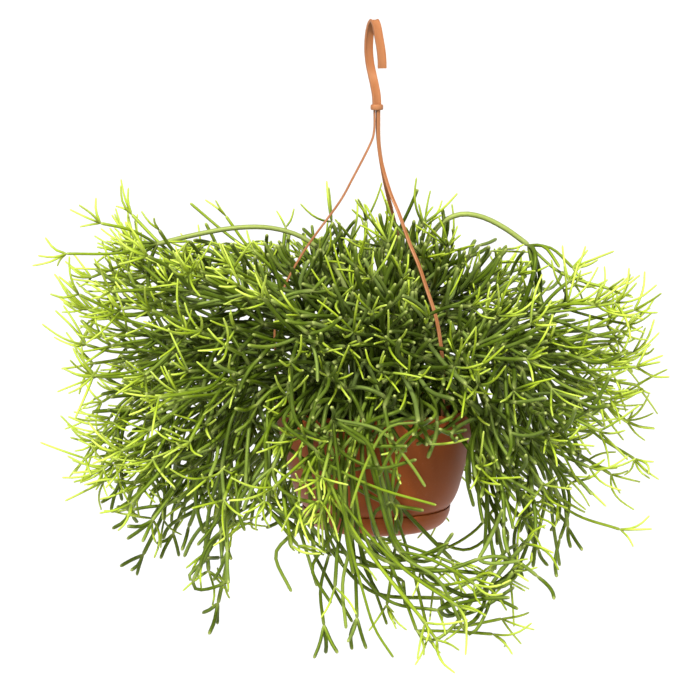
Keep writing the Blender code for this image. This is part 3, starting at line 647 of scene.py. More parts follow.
def strayed(draw, loose):
    """A step at random, no longer than loose each way."""
    return Vector([draw.uniform(-loose, loose) for _ in range(3)])


def leaning(way, turn, lean):
    """The way that leans off another one by an angle, turned about it."""
    side = way.orthogonal().normalized()
    across = way.cross(side)
    return (side * math.cos(turn) + across * math.sin(turn)) * math.sin(lean) + way * math.cos(lean)


def even_elevation(share, aims):
    """An elevation between the highest and the lowest aim, with as much room round the plant for each."""
    top, low = (math.sin(math.radians(aim)) for aim in aims)
    return math.degrees(math.asin(top + (low - top) * share))


def reach(way):
    """How far the foliage reaches from the middle of the rim, in a direction."""
    elevation = math.degrees(math.asin(max(-1.0, min(1.0, way.z))))
    flat = math.hypot(way.x, way.y) + 1e-9
    side = between(REACH["right" if way.x > 0 else "left"], elevation)
    face = between(REACH["back" if way.y > 0 else "front"], elevation)
    share = (way.x / flat) ** 2
    return (side * share + face * (1 - share)) * MM


def off_limits(path, radius, windows=WINDOWS):
    """Whether a path runs into the pot, the saucer, the free space below it or a window that stays open."""
    wall = [(z * MM, r * MM) for r, z in (*POT_OUTSIDE, *POT_TURN)][::-1]
    for point in path:
        out = math.hypot(point.x, point.y)
        if point.z < RIM_CLEAR + radius and out < between(wall, point.z) + radius + WALL_CLEAR:
            return True
        if point.z < SAUCER_FROM and out < SAUCER_ROOM + radius:
            return True
    return any(in_window(point, windows) for point in path)


def clear_of_pot(point):
    """Moves a low point out, to hang in front of the pot's wall."""
    out = math.hypot(point.x, point.y)
    if point.z > 0 or out > HANG_OUT:
        return point
    return Vector((point.x * HANG_OUT / out, point.y * HANG_OUT / out, point.z))


def bent(start, way, end, parts, bow=Vector()):
    """A curve from start to end that sets out along a way, or aside from it by a bow."""
    middle = start + way * (end - start).length * 0.5 + bow
    path = []
    for i in range(parts + 1):
        t = i / parts
        path.append(start * (1 - t) ** 2 + middle * 2 * t * (1 - t) + end * t**2)
    return path


def grow(draw, room, joint, way, aim, depth, level, turned_by, leads):
    """The path of one shoot of a whorl, or None where it finds no room."""
    radius = RADII[level]
    for trial in range(GROW_TRIALS):
        turn = turned_by + draw.uniform(-TURN_LOOSE, TURN_LOOSE) * (1 + trial / 5)
        lean = math.radians(SPREAD[level] * draw.uniform(*LEAN_LOOSE) * (LEADER_LEAN if leads else 1.0))
        out = leaning(way, turn, lean)
        if level < 3:
            spot = (joint + out * SIDE_PULL[level] + aim * AIM_PULL[level]).normalized()
            end = clear_of_pot(spot * reach(spot) * SHARE[level] * depth * draw.uniform(*REACH_LOOSE))
            if (end - joint).length < LEAST_SHOOT * MM:
                end = joint + (end - joint).normalized() * LEAST_SHOOT * MM
        else:
            out = (out + joint.normalized() * TIPS_OUTWARD).normalized()
            end = joint + out * draw.uniform(*TIP_LENGTH)
        path = bent(joint, out, end, SPANS[level])
        if off_limits(Room.balls(path), radius):
            continue
        if room.is_free(path, radius * STOUT, joint, JOINT_ROOM):
            return path
    return None


def stem_from_soil(draw, room, root, whorl, arch, way, spans=SPANS[0], trials=STEM_TRIALS, clear=CLEAR):
    """The old stem of a cutting, from its hole up and over to its first whorl."""
    for trial in range(trials):
        loose = min(1.0, trial / LOOSE_TRIALS) * LOOSE_MOST * MM
        end = whorl + strayed(draw, loose)
        foot = root + Vector([draw.uniform(-loose, loose) / 2 for _ in range(2)] + [0.0])
        rise = Vector((foot.x, foot.y, arch)) + strayed(draw, loose)
        before = end - way * (end - foot).length * WAY_IN
        start = Vector((foot.x, foot.y, OUT_OF_SOIL))
        path = [Vector((foot.x, foot.y, ROOT_Z))]
        for i in range(spans):
            t = i / (spans - 1)
            path.append(
                start * (1 - t) ** 3 + rise * 3 * t * (1 - t) ** 2 + before * 3 * t**2 * (1 - t) + end * t**3
            )
        over_rim = [p for p in Room.balls(path) if math.hypot(p.x, p.y) > OVER_RIM]
        barred = spans == SPANS[0] and off_limits(over_rim, RADII[0])
        if not barred and room.is_free(path, RADII[0] * STOUT, clear=clear):
            return path
    return None


def planting():
    """Every cutting as (name, root, first whorl, height of arch, way in to the whorl, aim, depth)."""
    for name, azimuth, head, circle, (out, up), arch, fall in PLACED:
        flat = in_direction(azimuth, 0)
        whorl = flat * out * MM + Vector((0, 0, up * MM))
        way = in_direction(head[0], fall)
        yield name, flat * circle * MM, whorl, arch * MM, way, in_direction(*head), 1.0
    for i in range(CUTTINGS):
        share = (i + 0.5) / CUTTINGS
        azimuth = i * GOLDEN_TURN
        elevation = even_elevation(share, HEAD_AIMS)
        root = in_direction(azimuth, 0) * ROOT_CIRCLE * math.sqrt(share)
        way = in_direction(azimuth, between(WHORL_RISE, elevation))
        depth = DEPTHS[i % len(DEPTHS)]
        whorl = way * reach(way) * WHORL_SHARE * depth
        aim = in_direction(azimuth, elevation)
        yield f"cutting_{i + 1:02d}", root, whorl, whorl.z * ARCH_SHARE + ARCH_LEAST, aim, aim, depth


def old_stems(draw, room):
    """The old stem of every cutting that finds room, as {name: [shoot]}."""
    stems = {}
    for name, root, whorl, arch, way, aim, depth in planting():
        spans = ARCH_SPANS if name.startswith("arching") else SPANS[0]
        path = stem_from_soil(draw, room, root, whorl, arch, way, spans)
        if path:
            room.take(path, RADII[0] * STOUT)
            stems[name] = [Shoot(path, 0, None, aim, depth)]
    return stems


def whorl_of(parent, draw, room, level):
    """The shoots of one whorl. The first that finds room leans less. Some ends get none and stay blunt."""
    joint, way, aim, depth = parent.path[-1], parent.onward(), parent.aim, parent.depth
    count = draw.randint(*BRANCHES[level - 1]) if level - parent.level == 1 else ARCH_BRANCHES
    young = (joint.length - YOUNG[0]) / (YOUNG[1] - YOUNG[0])
    if level == 3 and draw.random() > YOUNG_LEAST + (1 - YOUNG_LEAST) * young:
        parent.blunt = True
        return []
    start = draw.uniform(0, math.tau)
    grown = []
    for i in range(count):
        turned_by = start + math.tau * i / count
        path = grow(draw, room, joint, way, aim, depth, level, turned_by, leads=not grown)
        if path:
            room.take(path, RADII[level] * STOUT)
            grown.append(Shoot(path, level, parent, aim, depth))
    return grown


def plant(seed, room):
    """Grows the cuttings that have solids, level by level. Returns {name: [shoot, ...]}."""
    draw = random.Random(seed)
    for name in BOWS:
        path = [strap_place(name, p) for p in strap_line(name)]
        room.take([*path, path[-1] + Vector((0, 0, STRAP_FOOT))], STRAP_ROOM, is_strap=True)
    stems = old_stems(draw, room)
    heads = [(name, shoots[0]) for name, shoots in stems.items()]
    for level in (1, 2, 3):
        grown = []
        for name, parent in heads:
            if level == 1 and len(parent.path) > ARCH_SPANS:
                grown.append((name, parent))
                continue
            whorl = whorl_of(parent, draw, room, level)
            stems[name] += whorl
            grown += [(name, shoot) for shoot in whorl]
        heads = grown
    return stems


# The rest of the plant


class Thicket:
    """Fills the plant in: more cuttings, stubs and whorl shoots, clear of all that grows already."""

    def __init__(self, seed, room, stems):
        self.draw = random.Random(seed)
        self.room = room
        self.stems = stems
        self.aims = {name: shoots[0].aim for name, shoots in stems.items()}
        self.straps = StrapView()
        low, high = cad_box
        self.low, self.high = low + SADDLE, high + SADDLE

    def fits(self, path, radius, joint=None, windows=FINE_WINDOWS):
        """Whether a path stays in the solids' box and clear of pot, straps, windows and other stems."""
        for point in path:
            if any(v < a + radius or v > b - radius for v, a, b in zip(point, self.low, self.high)):
                return False
        balls = Room.balls(path)
        if off_limits([p for p in balls if math.hypot(p.x, p.y) > OVER_RIM], radius, windows):
            return False
        if self.straps.is_crossed(balls, radius):
            return False
        return self.room.is_free(path, radius, joint, JOINT_ROOM, FILL_CLEAR)

    def add(self, aim, shoot):
        """Puts a stem out of the soil in the piece of the cutting that leans the same way."""
        name = max(self.aims, key=lambda name: self.aims[name].dot(aim))
        self.room.take(shoot.path, OLD_RADII[shoot.level])
        self.stems[name].append(shoot)

    def near(self, value, loose):
        """A number at random, no further than loose from a value."""
        return value + self.draw.uniform(-loose, loose)

    def shaken(self, points, loose):
        """The points, each moved a little at random."""
        return [point + strayed(self.draw, loose) for point in points]

    def risen(self, root, end, arch, way, trials, windows=FINE_WINDOWS):
        """The path of a stem out of the soil and over to its end, or None where it finds no room."""
        path = stem_from_soil(self.draw, self.room, root, end, arch, way, trials=trials, clear=FILL_CLEAR)
        if path and self.fits(path[1:], OLD_RADII[0], windows=windows):
            return path
        return None

    def new_cuttings(self):
        """Cuttings between those that have solids."""
        draw = self.draw
        root_loose, rise_loose, aim_loose = FILLER_LOOSE
        for i in range(FILLERS):
            share = (i + 0.5) / FILLERS
            elevation = even_elevation(share, FILLER_AIMS)
            azimuth = i * GOLDEN_TURN + FILLER_TURN
            azimuth += FILLER_CROWD * math.sin(math.radians(azimuth))
            if i % FRONT_EVERY == FRONT_EVERY - 1:
                azimuth, elevation = FRONT_FIRST + FRONT_SPREAD * i / FILLERS, FRONT_LOW
            circle = ROOT_CIRCLE * min(1.0, math.sqrt(share) * draw.uniform(*FILLER_CIRCLE))
            root = in_direction(self.near(azimuth, root_loose), 0) * circle
            way = in_direction(azimuth, self.near(between(WHORL_RISE, elevation), rise_loose))
            whorl = way * reach(way) * draw.uniform(*FILLER_WHORL)
            aim = in_direction(self.near(azimuth, aim_loose), elevation)
            arch = max(whorl.z, 0.0) * draw.uniform(*FILLER_ARCH) + FILLER_ARCH_LEAST
            path = self.risen(root, whorl, arch, aim, FILLER_TRIALS)
            if path:
                self.add(aim, Shoot(path, 0, None, aim, draw.uniform(*FILLER_DEPTH)))

    def trails(self):
        """Stems over the rim that hang before the pot and sweep to the right below it."""
        for turn, forward, blunt, places in TRAILS:
            for trial in range(TRAIL_TRIALS):
                path = self.trail_path(turn, forward, places, trial / TRAIL_TRIALS)
                if self.fits(path[5:], YOUNG_RADII[1], windows=()) and self.room.is_free(
                    path, YOUNG_RADII[1], clear=FILL_CLEAR
                ):
                    self.add_trail(path, blunt, places[-1][1] > TRAIL_END)
                    break
            else:
                self.side_trail(places, blunt)

    def trail_path(self, turn, forward, places, freedom):
        """A path out of the soil and over the rim to the places where the trail is seen."""
        draw = self.draw
        room = draw.uniform(0.0, TRAIL_ROOM * min(1.0, 3.0 * freedom))
        line = [spot_seen(across, up, forward + math.copysign(room, forward)) for across, up in places]
        flat = Vector((line[0].x, line[0].y, 0.0)).normalized()
        root = in_direction(turn + draw.uniform(-TRAIL_TURN, TRAIL_TURN) * freedom, 0)
        root = root * draw.uniform(*TRAIL_ROOTS) * MM
        rim_turn = math.degrees(math.atan2(flat.y, flat.x))
        rim = in_direction(rim_turn + draw.uniform(-TRAIL_RIM_TURN, TRAIL_RIM_TURN) * freedom, 0)
        rise = Vector((0, 0, draw.uniform(*TRAIL_RISE) * MM))
        hung = self.shaken(line, TRAIL_LOOSE * (0.2 + 0.8 * freedom))
        foot, out = Vector((root.x, root.y, ROOT_Z)), Vector((root.x, root.y, TRAIL_FOOT))
        return smooth_line([foot, out, rim * TRAIL_RIM * MM + rise, *hung], CURVE_PARTS)

    def add_trail(self, path, blunt, is_short):
        """Puts in a trail: whole where its end is blunt, and else as two shoots with a joint between them."""
        aim = path[-1].normalized()
        level = 2 if blunt or is_short else 1
        joint = len(path) if blunt else round(len(path) * TRAIL_JOINT)
        upper = Shoot(path[:joint], level, None, aim, blunt=blunt)
        self.add(aim, upper)
        if not blunt:
            self.add(aim, Shoot(path[joint - 1:], level, upper, aim))

    def side_trail(self, places, blunt):
        """The same trail, grown from the end of a stem that hangs before the pot near where it starts."""
        draw = self.draw
        across, up = places[0]
        near = []
        for shoots in self.stems.values():
            for parent in shoots:
                x, y, _ = seen(parent.path[-1])
                if parent.level < 3 and not parent.blunt and parent.path[-1].y < SIDE_FORWARD:
                    near.append((math.hypot(x - across, y - up), shoots, parent))
        near.sort(key=lambda row: row[0])
        for _, shoots, parent in near[:SIDE_STEMS]:
            joint = parent.path[-1]
            for trial in range(SIDE_TRIALS):
                forward = joint.y / MM - draw.uniform(*SIDE_ROOM)
                line = [spot_seen(*place, forward) for place in places[1:]]
                hung = self.shaken(line, TRAIL_LOOSE * trial / SIDE_TRIALS)
                path = smooth_line([joint, *hung], CURVE_PARTS)
                if self.fits(path, YOUNG_RADII[1], joint, windows=()):
                    self.room.take(path, OLD_RADII[1])
                    level = min(parent.level + 1, 2)
                    shoots.append(Shoot(path, level, parent, path[-1].normalized(), blunt=blunt))
                    return

    def stubs(self):
        """Thick old stems with blunt ends that stand up and lean out of the middle of the pot."""
        draw = self.draw
        least, most = STUB_REACH
        rise, least_arch = STUB_ARCH
        for i in range(STUBS):
            azimuth = i * GOLDEN_TURN + STUB_TURN
            elevation = STUB_STEEPEST - STUB_LEANING * (i + 0.5) / STUBS
            root = in_direction(self.near(azimuth, STUB_LOOSE), 0) * ROOT_CIRCLE
            root = root * math.sqrt(draw.uniform(0, 1))
            way = in_direction(azimuth, elevation)
            end = way * reach(way) * draw.uniform(least, STUB_TALLEST if elevation > STUB_UPRIGHT else most)
            arch = end.z * rise + least_arch
            windows = STUB_WINDOWS if i % TALL_STUBS else WINDOWS
            path = self.risen(root, end, arch, way, STUB_TRIALS, windows)
            if path:
                self.add(way, Shoot(path, 0, None, way, blunt=True))

    def fringe(self):
        """Short blunt stems that lean over the rim in front and all but hide it."""
        draw = self.draw
        first, last = FRINGE_TURNS
        root_loose, end_loose, way_loose = FRINGE_LOOSE
        for i in range(FRINGE):
            azimuth = first + (last - first) * (i * GOLDEN_SHARE % 1.0)
            root = in_direction(self.near(azimuth, root_loose), 0) * draw.uniform(*FRINGE_ROOTS) * MM
            end = in_direction(self.near(azimuth, end_loose), 0) * draw.uniform(*FRINGE_OUT) * MM
            end.z = draw.uniform(*FRINGE_UP) * MM
            way = in_direction(self.near(azimuth, way_loose), FRINGE_FALL)
            arch = draw.uniform(*FRINGE_ARCH) * MM
            path = self.risen(root, end, arch, way, FRINGE_TRIALS)
            if path:
                self.add(in_direction(azimuth, 0), Shoot(path, 0, None, way, blunt=True))

    def branch_end(self, parent, level, out, curl):
        """Where a branch ends, near the plant's outline. Low ones hang loosely and sweep to the right."""
        joint = parent.path[-1]
        spot = (joint + out * SIDE_PULL[level] + parent.aim * AIM_PULL[level]).normalized()
        far = reach(spot) * SHARE[level] * parent.depth * self.draw.uniform(*SHOOT_REACH)
        end = clear_of_pot(spot * far)
        is_before_pot = end.y < 0 and abs(end.x) < POT_SIDE
        end.x += (max(0.0, LOOSE_BELOW - end.z) if is_before_pot else 0.0) * SWEEP
        least, most = SHOOT_LENGTH[level]
        length = min(max((end - joint).length, least), most)
        loose = CURL[0] if end.z > LOOSE_BELOW else CURL[1]
        return joint + ((end - joint).normalized() + curl * loose).normalized() * length

    def shoot(self, parent, way, level, turned_by):
        """One more shoot of a whorl, or None where it finds no room."""
        joint, draw = parent.path[-1], self.draw
        is_finger = level == 3 and not parent.fresh
        radius = OLD_RADII[level] if is_finger or level < 3 else YOUNG_RADII[level]
        for _ in range(SHOOT_TRIALS):
            turn = self.near(turned_by, SHOOT_TURN)
            lean = math.radians(draw.uniform(*(FINGER_LEAN if is_finger else WHORL_LEAN[level])))
            out = leaning(way, turn, lean)
            curl = strayed(draw, SHOOT_CURL)
            if level < 3:
                end = self.branch_end(parent, level, out, curl)
            else:
                out = (out + joint.normalized() * SHOOTS_OUTWARD).normalized()
                curl.z += TIP_RISE[0] if joint.z > LOOSE_BELOW else TIP_RISE[1]
                length = draw.uniform(*(FINGER_RANGE if is_finger else TIP_RANGE))
                end = joint + (out + curl * TIP_CURL).normalized() * length
            bow = curl.cross(out) * (BOW if end.z < LOOSE_BELOW else 0.0) * (end - joint).length
            path = bent(joint, out, end, BENDS[level], bow)
            if self.fits(path, radius, joint):
                self.room.take(path, radius)
                return Shoot(path, level, parent, parent.aim, parent.depth)
        return None

    def whorls(self):
        """Brings every whorl up to its full number of shoots, old whorls first. Some stems end blunt."""
        for level in (1, 2, 3):
            for shoots in self.stems.values():
                for parent in [s for s in shoots if s.level == level - 1 and not s.blunt]:
                    joint = parent.path[-1]
                    share = youth_and_inner_shade(joint)
                    chance = LEAST_STARS + max(0.0, share - LEAST_STARS) * STARS_RISE
                    parent.fresh = float(share > OUTERMOST or self.draw.random() < chance)
                    counts = WHORL_SHOOTS[level - 1] if level < 3 or parent.fresh else FINGERS
                    fewer = 1 if joint.z < LOOSE_BELOW else 0
                    self.fill_whorl(shoots, parent, level, self.draw.randint(*counts) - fewer)
        for shoots in self.stems.values():
            for parent in [s for s in shoots if s.level in (1, 2) and s.branches]:
                extra = self.draw.randint(*SHORT_SHOOTS) if parent.level == 1 else 0
                self.fill_whorl(shoots, parent, 3, parent.branches + extra)

    def fill_whorl(self, shoots, parent, level, wanted):
        """Grows the shoots that a whorl still wants, spread evenly round its joint."""
        way = parent.onward()
        start = self.draw.uniform(0, math.tau)
        for i in range(wanted - parent.branches):
            made = self.shoot(parent, way, level, start + math.tau * i / wanted)
            if made:
                shoots.append(made)

    def ripen(self):
        """Settles how young each shoot is: 0 is old and deep green, 1 new and yellow-green."""
        for shoots in self.stems.values():
            for shoot in shoots:
                old, young = RIPE[shoot.level]
                # Stems deep inside the foliage get a low share and come out darker: partly real age, partly
                # painted shade
                share = youth_and_inner_shade(shoot.path[-1])
                if shoot.level == 3:
                    share = shoot.parent.fresh * (0.7 + 0.3 * share)
                shoot.ripe = self.near(old + (young - old) * share, RIPE_LOOSE)
                shoot.is_arching = shoot.level == 0 and len(shoot.path) > ARCH_SPANS


# Sweeping the stems


class Nodes:
    """Adds nodes to a tree and links them."""

    def __init__(self, tree):
        self.tree = tree

    def feed(self, socket, value):
        """Links a socket to what changes over the surface, or sets it to a value or a colour."""
        if isinstance(value, Amount):
            value = value.socket
        if isinstance(value, bpy.types.NodeSocket):
            self.tree.links.new(value, socket)
        elif socket.type == "RGBA" and len(value) == 3:
            socket.default_value = (*value, 1.0)
        else:
            socket.default_value = value

    def node(self, kind, settings=(), inputs=()):
        """Adds a node: its settings or stops first, then a value or a link for each of its sockets."""
        made = self.tree.nodes.new(kind)
        for key, value in dict(settings).items():
            if key == "stops":
                self.set_stops(made.color_ramp.elements, value)
            else:
                setattr(made, key, value)
        for key, value in dict(inputs).items():
            if isinstance(key, str):
                key = next(i for i, s in enumerate(made.inputs) if key in (s.identifier, s.name))
            self.feed(made.inputs[key], value)
        return made

    def made(self, kind, settings=(), inputs=()):
        """Adds a node and returns its first output."""
        return self.node(kind, settings, inputs).outputs[0]

    @staticmethod
    def set_stops(elements, stops):
        """Sets a ramp's stops, given as (position, colour)."""
        while len(elements) < len(stops):
            elements.new(1.0)
        for element, (position, colour) in zip(elements, stops):
            element.position = position
            element.color = (*colour, 1.0)


class Tree(Nodes):
    """A rule that makes geometry, built node by node, with named inputs."""

    def __init__(self, name):
        super().__init__(bpy.data.node_groups.new(name, "GeometryNodeTree"))
        for way in ("INPUT", "OUTPUT"):
            self.tree.interface.new_socket("Geometry", in_out=way, socket_type="NodeSocketGeometry")
        self.start = self.tree.nodes.new("NodeGroupInput")
        self.names = {}

    def named(self, name, kind, value):
        """Adds a named input and returns its socket inside the tree."""
        made = self.tree.interface.new_socket(name, in_out="INPUT", socket_type="NodeSocket" + kind)
        made.default_value = value
        self.names[name] = made.identifier
        return self.start.outputs[name]

    def joined(self, *parts):
        """Joins several geometries to one."""
        joint = self.node("GeometryNodeJoinGeometry")
        for part in parts:
            self.tree.links.new(part, joint.inputs[0])
        return joint.outputs[0]

    def close(self, geometry, finish):
        """Ends the tree: instances made real, and the finish set."""
        real = self.made("GeometryNodeRealizeInstances", inputs={0: geometry})
        dressed = self.made("GeometryNodeSetMaterial", inputs={"Geometry": real, "Material": finish})
        self.node("NodeGroupOutput", inputs={0: dressed})

    def run(self, holder, **values):
        """The mesh that the tree makes of an object, which is then removed."""
        step = holder.modifiers.new("made", "NODES")
        step.node_group = self.tree
        for name, value in values.items():
            step[self.names[name]] = value
        bpy.context.view_layer.update()
        depsgraph = bpy.context.evaluated_depsgraph_get()
        mesh = bpy.data.meshes.new_from_object(holder.evaluated_get(depsgraph))
        bpy.data.objects.remove(holder)
        return mesh


def stem_sweep(finish):
    """Sweeps lines into round stems, as thick as their points say. Old stems have more sides."""
    tree = Tree("round_stems_" + finish.name)
    lines = tree.start.outputs["Geometry"]
    thickness, level = (
        tree.made("GeometryNodeInputNamedAttribute", {"data_type": "FLOAT"}, {"Name": name})
        for name in ("thickness", "level")
    )
    tubes = []
    for name, sides, low, high in SWEEPS:
        sides = tree.named(name, "Int", sides)
        above = tree.made("FunctionNodeCompare", {"operation": "GREATER_THAN"}, {"A": level, "B": low})
        below = tree.made("FunctionNodeCompare", {"operation": "LESS_THAN"}, {"A": level, "B": high})
        both = tree.made("FunctionNodeBooleanMath", {"operation": "AND"}, {0: above, 1: below})
        curves = tree.made("GeometryNodeMeshToCurve", inputs={"Mesh": lines, "Selection": both})
        ring = tree.made("GeometryNodeCurvePrimitiveCircle", inputs={"Resolution": sides, "Radius": 1.0})
        swept = {"Curve": curves, "Profile Curve": ring, "Scale": thickness, "Fill Caps": True}
        tubes.append(tree.made("GeometryNodeCurveToMesh", inputs=swept))
    smooth = tree.made("GeometryNodeSetShadeSmooth", inputs={0: tree.joined(*tubes), "Shade Smooth": True})
    tree.close(smooth, finish)
    return tree


class Line:
    """A path that can be read at any distance along it."""

    def __init__(self, path):
        self.path = path
        self.marks = [0.0]
        for start, end in zip(path, path[1:]):
            self.marks.append(self.marks[-1] + (end - start).length)
        self.length = self.marks[-1]

    def at(self, distance):
        i = min(max(bisect_right(self.marks, distance) - 1, 0), len(self.path) - 2)
        span = max(self.marks[i + 1] - self.marks[i], 1e-9)
        return self.path[i].lerp(self.path[i + 1], (distance - self.marks[i]) / span)


def bowed(path, draw):
    """A straight tip with a little bow and sag."""
    start, end = path
    along = end - start
    bow = along.cross(strayed(draw, 1)) * TIP_BOW - Vector((0, 0, along.length * TIP_SAG))
    return [start, (start + end) / 2 + bow, end]


def stem_marks(shoot, length, radius, narrow):
    """(distance, size, pale) along a shoot: a narrow neck, a swollen or narrowed end, a rounded tip."""
    ends = shoot.branches == 0
    neck = min(NECK, length * NECK_SHARE)
    swell = 1.0 - narrow if ends else SWOLLEN
    marks = [(0.0, 1.0, 0.0)]
    if shoot.parent:
        marks = [(at, size, pale) for at, (size, pale) in zip((0.0, neck), NECK_SIZES)]
    count = max(BENDS[shoot.level], round(length / BEND_LENGTH))
    for i in range(1, count):
        t = i / count
        marks.append((neck + (length - neck - END_ROOM * radius) * t, 1.0 + (swell - 1.0) * t**2, 0.0))
    back, size = SHOULDER
    marks.append((length - back * radius, swell * size, 0.1 if ends else 0.3))
    back, size = ROUNDING
    marks.append((length - back * radius, swell * size, 0.6))
    return [*marks, (length, swell * TIP_SIZE, 1.0)]


def stem_rows(shoot, draw):
    """Points along a shoot as (place, thickness, age, pale)."""
    path = bowed(shoot.path, draw) if len(shoot.path) == 2 else shoot.path
    line = Line(smooth_line(path, CURVE_PARTS))
    is_tip = shoot.level == 3
    share = shoot.parent.fresh if is_tip else youth_and_inner_shade(path[-1])
    old, young = OLD_RADII[shoot.level], YOUNG_RADII[shoot.level]
    radius = (old + (young - old) * share) * draw.uniform(*STEM_SIZES)
    narrow = TIP_TAPER * share if is_tip else TAPER
    start = shoot.parent.ripe if shoot.parent else 0.0
    # Arching stems are made paler all along, carried in pale: a painted sheen of light, not their own colour
    least = ARCH_PAINTED_SHEEN if shoot.is_arching else 0.0
    rows = []
    for mark, size, pale in stem_marks(shoot, line.length, radius, narrow):
        age = start + (shoot.ripe - start) * min(1.0, 1.6 * mark / line.length)
        rows.append((line.at(mark), radius * size, age, max(pale, least)))
    return rows


def stem_piece(name, shoots, sweep, seed):
    """One cutting as one piece of round stems."""
    draw = random.Random(seed)
    places, edges = [], []
    values = {"thickness": [], "age": [], "pale": [], "tone": [], "level": []}
    for shoot in shoots:
        tone = draw.random()
        rows = stem_rows(shoot, draw)
        edges += [(len(places) + i, len(places) + i + 1) for i in range(len(rows) - 1)]
        for place, thickness, age, pale in rows:
            places.append(place - SADDLE)
            for key, value in zip(values, (thickness, age, pale, tone, float(shoot.level))):
                values[key].append(value)
    mesh = bpy.data.meshes.new(name + "_lines")
    mesh.from_pydata(places, edges, [])
    for key, column in values.items():
        mesh.attributes.new(key, "FLOAT", "POINT").data.foreach_set("value", column)
    return placed(name, sweep.run(placed(name + "_lines", mesh)))


def placed(name, mesh, finish=None):
    """An object that shows a mesh as it stands, in one finish if it is given."""
    made = bpy.data.objects.new(name, mesh)
    bpy.context.scene.collection.objects.link(made)
    if finish:
        mesh.materials.clear()
        mesh.materials.append(finish)
    return made


# Finishes, with their colours as linear red, green and blue

STEM_GREENS = [
    (0.0, (0.034, 0.056, 0.003)), (0.22, (0.066, 0.104, 0.005)), (0.48, (0.15, 0.215, 0.008)),
    (0.74, (0.28, 0.365, 0.02)), (1.0, (0.43, 0.53, 0.075)),
]
STEM_SHIFTS = (0.0, 0.05, -0.05)
GREY_BLOOM = (0.2, 0.245, 0.1)
PALE_JOINT = (0.46, 0.5, 0.16)
POT_COLOUR = (0.26, 0.06, 0.011)
SAUCER_COLOUR = (0.27, 0.063, 0.012)
FLOW_SHADE = 0.78
DUST = (0.27, 0.15, 0.1)
SPECKS = (0.33, 0.17, 0.1)
HANGER_COLOURS = ((0.27, 0.1, 0.034), (0.34, 0.145, 0.063))
HANGER_CLOUD = (0.24, 0.075, 0.023)
SOIL_BROWNS = [(0.25, (0.012, 0.008, 0.006)), (0.5, (0.035, 0.021, 0.013)), (0.75, (0.075, 0.045, 0.025))]
FIBRE = (0.3, 0.24, 0.17)


class Amount:
    """A number that changes over a surface, worked with in plain sums."""

    def __init__(self, finish, socket):
        self.finish = finish
        self.socket = socket

    def sum_with(self, operation, first, second=0.0, clamped=False):
        settings = {"operation": operation, "use_clamp": clamped}
        return Amount(self.finish, self.finish.made("ShaderNodeMath", settings, {0: first, 1: second}))

    def __add__(self, other):
        return self.sum_with("ADD", self, other)

    def __sub__(self, other):
        return self.sum_with("SUBTRACT", self, other)

    def __rsub__(self, other):
        return self.sum_with("SUBTRACT", other, self)

    def __mul__(self, other):
        return self.sum_with("MULTIPLY", self, other)

    def __truediv__(self, other):
        return self.sum_with("DIVIDE", self, other)

    __radd__ = __add__
    __rmul__ = __mul__

    def clamped(self):
        return self.sum_with("ADD", self, 0.0, clamped=True)

    def over(self, low, high):
        """0 below low, 1 above high, and even between them."""
        return ((self - low) / (high - low)).clamped()


class Finish(Nodes):
    """A material under construction. Its constants are set on the shader's own sockets."""

    def __init__(self, name, **constants):
        self.material = bpy.data.materials.new(name)
        self.material.use_nodes = True
        super().__init__(self.material.node_tree)
        self.shader = self.tree.nodes["Principled BSDF"]
        for key, value in constants.items():
            self.feed(self.shader.inputs[key.replace("_", " ").title().replace("Ior", "IOR")], value)

    def attribute(self, name):
        """A number that the mesh keeps at each of its points."""
        return Amount(self, self.node("ShaderNodeAttribute", {"attribute_name": name}).outputs["Fac"])

    def grain(self, scale, detail=2.0, stretch=(1.0, 1.0, 1.0), rough=0.5):
        """Noise from 0 to 1 in the piece's own coordinates, with so many lumps to a metre."""
        place = self.node("ShaderNodeTexCoord").outputs["Object"]
        sized = self.made("ShaderNodeMapping", inputs={"Vector": place, "Scale": stretch})
        inputs = {"Vector": sized, "Scale": scale, "Detail": detail, "Roughness": rough}
        return Amount(self, self.made("ShaderNodeTexNoise", inputs=inputs))

    def ramp(self, amount, stops):
        """The colour that an amount picks between stops."""
        return self.made("ShaderNodeValToRGB", {"stops": stops}, {0: amount})

    def mixed(self, amount, first, second, way="MIX"):
        """The first colour where the amount is 0 and the second where it is 1."""
        inputs = {"Factor_Float": amount, "A_Color": first, "B_Color": second}
        return self.node("ShaderNodeMix", {"data_type": "RGBA", "blend_type": way}, inputs).outputs[2]

    def grey(self, amount):
        """A colour as bright as the amount, to multiply another colour by."""
        return self.made("ShaderNodeCombineColor", inputs={0: amount, 1: amount, 2: amount})

    def done(self, colour, roughness, height=None, depth=0.1 * MM, strength=0.5):
        """Feeds the shader and returns the material. Height is a relief of a depth, as strong as given."""
        self.feed(self.shader.inputs["Base Color"], colour)
        self.feed(self.shader.inputs["Roughness"], roughness)
        if height:
            inputs = {"Height": height, "Distance": depth, "Strength": strength}
            self.feed(self.shader.inputs["Normal"], self.made("ShaderNodeBump", inputs=inputs))
        return self.material


